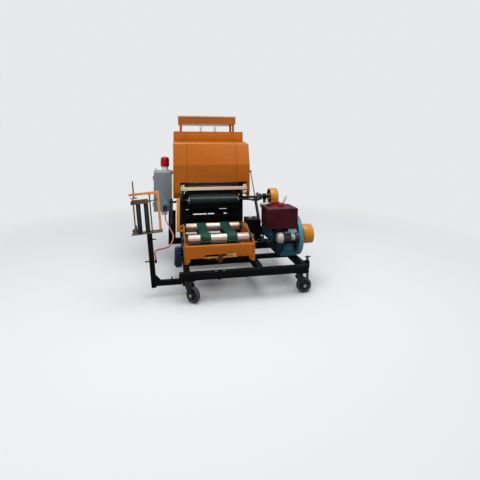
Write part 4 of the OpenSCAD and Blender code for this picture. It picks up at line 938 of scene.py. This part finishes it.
low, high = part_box("upper_hood")
baler_mid = (low.x + high.x) / 2
hood_front = [Vector((0, low.y + 0.0002, low.z + 0.006)), Vector((0, low.y + 0.0098, high.z - 0.001))]
seams = bmesh.new()
for x in seam_x:
    add_seam(seams, baler_mid + x, hood_front)
piece_from(seams, "hood_seams", seam_dark)
low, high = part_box("drive_covers")
cover_spots = []
for x, way in ((low.x, LEFT), (high.x, RIGHT)):
    cover_spots += [((x, high.y - 0.03, z), way) for z in (0.93, 1.15, 1.37, 1.58)]
    cover_spots += [((x, low.y + 0.16 + 0.12 * (z - 0.93), z), way) for z in (0.93, 1.25, 1.55)]
cover_spots += [((baler_mid + x, high.y, z), BACK) for x in (-0.43, 0.43) for z in (0.95, 1.2, 1.5)]
bolts("cover_screws", cover_spots, 0.0055, 0.004, material=black_paint)

# Twine box: an open tray of folded sheet on four legs above the hood, with a painted highlight on its rolled
# rim.
# Two plated eyes under it lead the twine down.
low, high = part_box("twine_box")
rim_h = 0.02
# The rim's top band is painted pale peach: a painted highlight.
rim_highlight = ((0.85, 0.62, 0.46), (low.x - 0.1, low.y - 0.1, high.z - rim_h),
              (high.x + 0.1, high.y + 0.1, high.z + 0.1))
tray_orange = painted("tray_orange", (0.43, 0.12, 0.005), gloss=0.36, dust=0.25, chips=0.3,
                      dust_tint=orange_dust, patches=[rim_highlight])
dressed("twine_box", tray_orange, 0.0015)
dressed("twine_guides", zinc_plate, 0.0008)

# Cross bar: a plated square tube over the bale's way out, on two uprights, with a tapered tab above each end.
# A plated block is bolted under each end.
low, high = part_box("cross_bar")
# The bar is painted near white and barely metallic, yellow at the left end and pink at the right: a painted
# reflection of the sky on its plating, with the plating's tints.
bar_reflection_paint, tree, shader = new_material("bar_reflection_paint")
place = put(tree, "ShaderNodeSeparateXYZ", {"Vector": piece_place(tree)}).outputs
reflection_tones = tinted(tree, ranged(tree, place["X"], low.x, high.x), (
    (0.0, (0.88, 0.8, 0.52)), (0.12, (0.98, 0.78, 0.42)), (0.42, (0.98, 0.7, 0.54)),
    (0.8, (0.98, 0.66, 0.62)), (1.0, (0.9, 0.8, 0.6))))
tabs = mixed(tree, ranged(tree, place["Z"], 1.017, 1.021), reflection_tones, (0.8, 0.8, 0.42, 1))
above_legs = ranged(tree, place["Z"], 0.976, 0.978)
feed(tree, shader, {"Base Color": mixed(tree, above_legs, (0.008, 0.008, 0.009, 1), tabs),
                    "Metallic": reckoned(tree, "MULTIPLY", above_legs, 0.12), "Roughness": 0.34})
dressed("cross_bar", bar_reflection_paint, 0.0016)
# The plated blocks are near-white pinkish paint, not metal: a painted reflection on their plating.
block_reflection_paint = painted("block_reflection_paint", (0.9, 0.72, 0.62), gloss=0.35, dust=0.15, chips=0.2, uneven=0.1)
blocks = bmesh.new()
for x in (low.x + 0.003, high.x - 0.055):
    add_block(blocks, (x, low.y + 0.0005, 0.932), (x + 0.052, low.y + 0.034, 0.966))
piece_from(blocks, "bar_blocks", block_reflection_paint, 0.002)
bar_spots = [((x, low.y, 0.998), FRONT) for x in (low.x + 0.03, low.x + 0.07, high.x - 0.07, high.x - 0.03)]
bar_spots += [((x, low.y, 1.035), FRONT) for x in (low.x + 0.029, high.x - 0.029)]
bolts("bar_bolts", bar_spots, 0.006, 0.005)

# Feed hopper: a floor and two flared sides of sheet on two legs, open to the feed rotor.
# It is painted orange, chipped along its edges by the fodder.
dressed("feed_hopper", tray_orange, 0.0012)

# Conveyor: two black side plates with a plated roller at each end and a flat green belt between them.
# The belt's ends are joined by a row of pale steel clips at its front bend, a painted highlight where the
# belt turns over the roller.
dressed("conveyor_frame", black_paint, 0.001)
for node in ("conveyor_roller_front", "conveyor_roller_rear"):
    dressed(node, bar_zinc, 0.001)
dressed("conveyor_belt", belting("conveyor_belting", (0.004, 0.017, 0.015), 200), 0.0012)
low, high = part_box("conveyor_belt")
# The clips are pale grey-green: a painted highlight along the belt's front bend.
clip_highlight_paint = painted("clip_highlight_paint", (0.15, 0.19, 0.175), gloss=0.45, dust=0.1, chips=0.2, metal=0.3)
bend = (math.radians(-38), 0, 0)
row("conveyor_highlight_clips", 44, (low.x + 0.012, low.y + 0.0075, high.z - 0.0185), (0.01387, 0, 0),
    (0.0095, 0.0025, 0.007), clip_highlight_paint, "chassis", bend)

# Door: one folded sheet with two side plates and a wing at each side, hung from the hood on two hinges.
# Its sheet has two seams, with a screw at each end, and its rollers close the chamber.
low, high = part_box("door")
door_y, door_foot, break_z, ledge_z = low.y, 1.082, 1.31, 1.59
# A band of lighter orange along the front of the top ledge is a painted highlight on the fold.
lit_fold = ((0.8, 0.33, 0.08), (low.x - 0.01, low.y - 0.01, ledge_z), (high.x + 0.01, at(0, 840, 0).y, 1.7))
door_orange = painted("door_orange", sheet_colour, patches=[lit_fold], **sheet_wear)
dressed("door", door_orange, 0.0015, 8)
dressed("door_rollers", bar_zinc, 0.0012)
fold, ledge = Vector((0, door_y, break_z)), Vector((0, at(0, 786, 0).y, ledge_z))
seams = bmesh.new()
for x in seam_x:
    add_seam(seams, baler_mid + x, [Vector((0, door_y, door_foot)), fold, ledge])
piece_from(seams, "door_seams", seam_dark, body="front_door")
slope = (ledge - fold).normalized()
out = Vector((0, -slope.z, slope.y))
door_spots = []
for x in seam_x:
    for t in (0.06, 0.94):
        spot = fold.lerp(ledge, t)
        door_spots.append((Vector((baler_mid + x, spot.y, spot.z)) + out * 0.0004, out))
    door_spots += [((baler_mid + x, door_y, z), FRONT) for z in (1.11, 1.24)]
bolts("door_screws", door_spots, 0.005, 0.0035, "front_door", seam_dark)

# Door cylinders: a black barrel on its trunnion and a thin plated rod with an eye, one at each side.
# The rod's eye works against a pad on the door.
cylinder_black = painted("cylinder_black", (0.005, 0.005, 0.006), gloss=0.42, dust=0.05, chips=0.3,
                         mirror=0.1, coat=0.0)
rod_plate = painted("rod_plate", (0.16, 0.15, 0.13), gloss=0.25, dust=0.2, chips=0.1, metal=0.8, mirror=0.5)
for side in ("left", "right"):
    dressed("barrel_" + side, cylinder_black, 0.0015)
    dressed("rod_" + side, rod_plate, 0.001)

# Engine: a single-cylinder diesel lying with its head to the back, cast and painted teal, on two bearers.
# A flared foot, a round crankcase cover, a head cover, ribs and rows of bolts stand out of the casting.
teal_cast = painted("teal_cast", (0.003, 0.027, 0.044), gloss=0.36, dust=0.14, chips=0.4, bump=0.5,
                    mirror=0.22, dust_tint=(0.13, 0.14, 0.13), coat=0.0)
# The castings take a copy of the block's teal about three times lighter: painted light on the parts that
# stand out.
teal_lit_copy = painted("teal_lit_copy", (0.012, 0.088, 0.135), gloss=0.34, dust=0.15, chips=0.3, bump=0.4)
dressed("engine_block", teal_cast, 0.004)
low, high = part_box("engine_block")
block_x0, block_x1 = high.x - 0.222, high.x - 0.022
rib_h, rib_y0, rib_y1 = 0.008, at(0, 100, 0).y, at(0, 440, 0).y
crank = Vector(joints["crank_turn"]["pos_m"])
crankcase = Vector((block_x0 - 0.034, crank.y, crank.z))
castings = bmesh.new()
foot = [(0.0, 0.345), (0.186, 0.345), (0.186, 0.365), (0.166, 0.38), (0.148, 0.42), (0.146, 0.478),
        (0.04, 0.478), (0.038, 0.42), (0.02, 0.38), (0.0, 0.365)]
foot_x, foot_y = block_x0 + 0.025, low.y
add_prism(castings, [Vector((foot_x + x, foot_y, z)) for x, z in foot], FRONT * 0.012, BACK * 0.02)
crank_cover = [(0.078, 0.0), (0.078, 0.012), (0.07, 0.018), (0.03, 0.018), (0.028, 0.03), (0.012, 0.034)]
add_turned(castings, crank_cover, crankcase, LEFT, 36)
for z in (0.47, 0.51, 0.55, 0.59):
    for x0, x1 in ((block_x0 - 0.006, block_x0 + 0.004), (block_x1 - 0.004, block_x1 + 0.006)):
        add_block(castings, (x0, rib_y0, z), (x1, rib_y1, z + rib_h))
add_block(castings, (block_x0 + 0.034, high.y - 0.001, 0.47), (block_x1 - 0.034, high.y + 0.02, 0.62))
piece_from(castings, "engine_castings", teal_lit_copy, 0.002)
circle = [Vector((0, math.cos(math.radians(a)), math.sin(math.radians(a)))) for a in range(0, 360, 45)]
engine_spots = [(crankcase + v * 0.086, LEFT) for v in circle]
engine_spots += [((foot_x + x, foot_y - 0.012, z), FRONT) for x in (0.055, 0.131) for z in (0.4, 0.46)]
engine_spots += [((x, high.y + 0.02, z), BACK) for x in (block_x0 + 0.05, block_x1 - 0.05)
                 for z in (0.49, 0.6)]
engine_spots += [(at(690 + x, y, 345), UP) for x in (-70, 130) for y in (-130, 350)]
bolts("engine_bolts", engine_spots, 0.0075, 0.006, material=black_paint)
# Light cover beside the starter, its front sloped back
cover_blue = painted("cover_blue", (0.2, 0.4, 0.5), gloss=0.3, dust=0.2, chips=0.3, uneven=0.15)
cover = bmesh.new()
cover_side = [(-266, 572), (-266, 610), (-246, 642), (-215, 642), (-215, 572)]
add_prism(cover, [at(752, y, z) for y, z in cover_side], Vector(), RIGHT * 0.098)
piece_from(cover, "governor_cover", cover_blue, 0.004)

# Tank: a pressed steel fuel and water tank with lips round it, painted maroon, on top of the block.
# Its two caps are with the fittings.
# The tank's dust is tinted a light maroon, so its faces that look up come out lighter: dust, and a painted
# highlight on its top.
maroon = painted("maroon", (0.05, 0.0012, 0.0055), gloss=0.36, dust=0.38, chips=0.15, coat=0.0, mirror=0.14,
                 bump=0.05, dust_tint=(0.24, 0.1, 0.105))
dressed("engine_tank", maroon, 0.006, 35, 3)
low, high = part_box("engine_tank")
lip, lip_h = 0.004, 0.008
lips = bmesh.new()
for z in (high.z - 0.02, low.z + 0.012):
    for y in (low.y, high.y):
        add_block(lips, (low.x - lip, y - lip, z), (high.x + lip, y + lip, z + lip_h))
    for x in (low.x, high.x):
        add_block(lips, (x - lip, low.y + lip, z), (x + lip, high.y - lip, z + lip_h))
piece_from(lips, "tank_lips", maroon, 0.0025)

# Engine fittings: the starter with its bright end bell and band, the tank's caps, the exhaust on its riser,
# a red guard bar, a lever with a white grip and the air cleaner. They are steel and plastic, screwed on.
muffler_silver = ((0.5, 0.52, 0.46), at(620, 480, 748), at(760, 560, 830))
riser_grey = ((0.1, 0.11, 0.1), at(670, 480, 630), at(730, 560, 748))
cap_maroon = ((0.1, 0.003, 0.008), at(560, -70, 871), at(620, -10, 900))
cap_red = ((0.42, 0.006, 0.008), at(670, -140, 871), at(760, -60, 920))
fitting_black = painted("fitting_black", (0.014, 0.015, 0.017), gloss=0.36, dust=0.25, chips=0.4,
                        patches=[muffler_silver, riser_grey, cap_maroon, cap_red])
dressed("engine_fittings", fitting_black, 0.003)
starter = at(622, -262, 552)
bell_plate = painted("bell_plate", (0.58, 0.5, 0.47), gloss=0.32, dust=0.25, chips=0.2, metal=0.35,
                     uneven=0.2)
bell = bmesh.new()
bell_section = [(0.022, -0.006), (0.043, -0.003), (0.054, 0.01), (0.058, 0.028), (0.058, 0.056), (0.05, 0.06)]
add_turned(bell, bell_section, starter, RIGHT, 36)
add_turned(bell, [(0.036, 0.15), (0.036, 0.196)], starter, RIGHT, 32)
piece_from(bell, "starter_bell", bell_plate, 0.0015, turned=40)
starter_body = bmesh.new()
barrel = [(0.05, 0.059), (0.054, 0.063), (0.054, 0.148), (0.034, 0.153)]
drive_end = [(0.03, 0.193), (0.05, 0.197), (0.057, 0.206), (0.057, 0.236), (0.05, 0.239)]
for section in (barrel, drive_end):
    add_turned(starter_body, section, starter, RIGHT, 36)
add_turned(starter_body, [(0.022, 0.066), (0.022, 0.14)], starter + Vector((0, -0.03, 0.05)), RIGHT, 24)
piece_from(starter_body, "starter_body", fitting_black, 0.002, turned=40)
guard = bmesh.new()
add_block(guard, at(616, -6, 870), at(735, 22, 908))
red_paint = painted("red_paint", (0.4, 0.004, 0.004), gloss=0.34, dust=0.15, chips=0.3)
piece_from(guard, "red_guard", red_paint, 0.004)
lever = bmesh.new()
add_tube(lever, [at(778, -20, 869), at(774, -20, 890), at(776, -20, 912)], 0.006, 12)
piece_from(lever, "lever_stem", fitting_black)
grip = bmesh.new()
grip_run = [at(766, -20, 904), at(776, -20, 915), at(790, -20, 945), at(802, -20, 976)]
add_tube(grip, smooth_run(grip_run, 4), 0.0155)
pale_plastic = painted("pale_plastic", (0.75, 0.75, 0.72), gloss=0.45, dust=0.15, chips=0.0, uneven=0.05)
piece_from(grip, "lever_grip", pale_plastic, 0.003)
canister = bmesh.new()
canister_at = at(588, 118, 640)
canister_section = [(0.036, 0.0), (0.04, 0.006), (0.04, 0.06), (0.043, 0.064), (0.043, 0.074), (0.04, 0.078),
                    (0.04, 0.15), (0.03, 0.168), (0.02, 0.172)]
add_turned(canister, canister_section, canister_at, UP, 36)
pipe = [(0, 0, 0.11), (0.035, 0, 0.11), (0.07, 0.03, 0.08), (0.08, 0.06, -0.05)]
add_tube(canister, smooth_run([canister_at + Vector(p) for p in pipe], 5), 0.018, 20)
canister_green = painted("canister_green", (0.045, 0.06, 0.052), gloss=0.36, dust=0.35, chips=0.3)
piece_from(canister, "air_cleaner", canister_green, 0.0015, turned=40)

# Flywheel: a heavy cast wheel with a turned rim, painted light teal, on the crankshaft.
# The crankshaft, bare steel, carries the yellow drive pulley on its free end.
low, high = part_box("engine_pulley")
steel = (0.03, 0.028, 0.026)
wheel_blue = painted("wheel_blue", (0.1, 0.3, 0.38), gloss=0.24, dust=0.12, chips=0.3, mirror=0.5,
                     patches=[(steel, (low.x - 0.012, low.y, low.z), (high.x + 0.1, high.y, high.z), True)])
eased(dressed("flywheel", wheel_blue, 0.003), "crank_turn")
pulley_wall, grease_and_shadow_edge = 0.013, 0.003


def pulley_paint(name, centre, rim):
    """Yellow paint on the rim; within it, dark grease and a painted shadow in the hollow."""

    def grease_and_shadow(tree, colour):
        place = from_centre(tree, centre)
        across = put(tree, "ShaderNodeVectorMath", {0: place, 1: (0, 1, 1)}, operation="MULTIPLY")
        inner = rim - pulley_wall
        edge = ranged(tree, length_of(tree, across.outputs[0]), inner, inner + grease_and_shadow_edge)
        # Inside the rim the colour goes near black: painted shadow in the hollow, with grease.
        return mixed(tree, edge, (0.02, 0.013, 0.009, 1), colour)

    return painted(name, (0.74, 0.28, 0.004), gloss=0.24, dust=0.1, chips=0.3, uneven=0.05, coat=0.25,
                   mirror=0.5, dust_tint=(0.5, 0.38, 0.22), change=grease_and_shadow)


for node in ("engine_pulley", "baler_pulley"):
    low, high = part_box(node)
    dressed(node, pulley_paint(node + "_paint", (low + high) / 2, (high.z - low.z) / 2), 0.002)

# Baler's drive shaft: a bright steel shaft with clutch flanges, in two bearings beside the baler.
# Its pulley lines up with the engine's.
shaft_steel = painted("shaft_steel", steel, gloss=0.34, dust=0.3, chips=0.6, metal=0.5)
eased(dressed("baler_shaft", shaft_steel, 0.0015), "drive_turn")
shaft = Vector(joints["drive_turn"]["pos_m"])
flange = Vector((at(780, 0, 0).x, shaft.y, shaft.z))
flange_w, clutch_r = 0.02, 0.058
clutch_spots = [(flange + v * clutch_r, RIGHT) for v in circle]
clutch_spots += [(flange + v * clutch_r + LEFT * flange_w, LEFT) for v in circle]
bolts("clutch_bolts", clutch_spots, 0.006, 0.006, "drive_shaft")

# Cabinet: a folded steel box in grey-blue enamel on its column, with a door hinged at the left.
# A dark switch box sits low on the door, with a latch above it, and an eye for lifting on the roof.
low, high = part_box("cabinet_door")
box_corner = at(-750 + 122, 874 - 31, 686)
enamel = (0.235, 0.275, 0.31)
grey_enamel = painted("grey_enamel", enamel, gloss=0.38, dust=0.12, chips=0.1, uneven=0.04)
switch_box = [((0.06, 0.1, 0.16), box_corner, box_corner + Vector((0.069, 0.0305, 0.082))),
              ((0.02, 0.03, 0.05), box_corner, box_corner + Vector((0.025, 0.0305, 0.082)))]
# The door's top band and its side edges are painted pale: a painted highlight along the edges.
edge_highlights = [((0.5, 0.56, 0.58), low + Vector(a), low + Vector(b)) for a, b in (
    ((-0.01, -0.01, 0.524), (0.3, 0.1, 0.6)), ((-0.01, -0.01, -0.1), (0.013, 0.1, 0.6)),
    ((0.247, -0.01, -0.1), (0.3, 0.1, 0.6)))]
door_enamel = painted("door_enamel", enamel, gloss=0.36, dust=0.08, chips=0.1, uneven=0.04,
                      patches=switch_box + edge_highlights)
dressed("cabinet", grey_enamel, 0.003)
dressed("cabinet_door", door_enamel, 0.005, 35, 3)
latch = bmesh.new()
latch_at = Vector((high.x - 0.024, at(0, 874, 0).y, 0.86))
for corner, far in (((-0.009, -0.003, -0.03), (0.009, 0.001, 0.03)),
                    ((-0.005, -0.014, -0.016), (0.005, -0.002, 0.016))):
    add_block(latch, latch_at + Vector(corner), latch_at + Vector(far))
piece_from(latch, "cabinet_latch", grey_enamel, 0.0025, "control_door")
switch = bmesh.new()
knob_at = box_corner + Vector((0.034, 0, 0.05))
add_turned(switch, [(0.014, 0), (0.014, 0.006), (0.011, 0.016), (0.009, 0.017)], knob_at, FRONT, 24)
piece_from(switch, "switch_knob", black_paint, body="control_door")
low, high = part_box("cabinet")
eye = bmesh.new()
eye_at = Vector((low.x + 0.04, low.y + 0.06, high.z))
eye_r, eye_up = 0.013, 0.024
add_turned(eye, [(0.012, 0), (0.012, 0.004), (0.005, 0.006), (0.005, 0.014)], eye_at, UP, 16)
turns = [math.radians(a - 90) for a in range(0, 361, 20)]
eye_loop = [eye_at + Vector((eye_r * math.cos(t), 0, eye_up + eye_r * math.sin(t))) for t in turns]
add_tube(eye, eye_loop, 0.004, 10)
piece_from(eye, "lifting_eye", zinc_plate)
row("cabinet_vents", 7, (low.x - 0.0008, (low.y + high.y) / 2, low.z + 0.07), (0, 0, 0.013),
    (0.002, 0.09, 0.005), grey_enamel, "chassis")

# Beacon: a red ribbed lens on a pale plastic base, screwed to the cabinet's roof.
# The lens is moulded plastic and pressed onto the base.
dressed("beacon_base", pale_plastic, 0.002)
lens, tree, shader = new_material("red_lens")
low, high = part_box("beacon")
ribs = waves(tree, from_centre(tree, Vector(((low.x + high.x) / 2, (low.y + high.y) / 2, 0))), "Z", 28)
reds = tinted(tree, ribs, ((0.0, (0.3, 0.0, 0.006)), (1.0, (0.46, 0.001, 0.012))))
feed(tree, shader, {"Base Color": reds, "Roughness": 0.2, "Coat Weight": 0.1, "Specular IOR Level": 0.2})
emboss(tree, shader, ribs, 0.35, 0.002)
dressed("beacon", lens, 0.002)

# Junction box: a small moulded box of pale plastic under the cabinet, from which the hose leaves.
# It is screwed to the cabinet's underside.
dressed("junction_box", pale_plastic, 0.003)
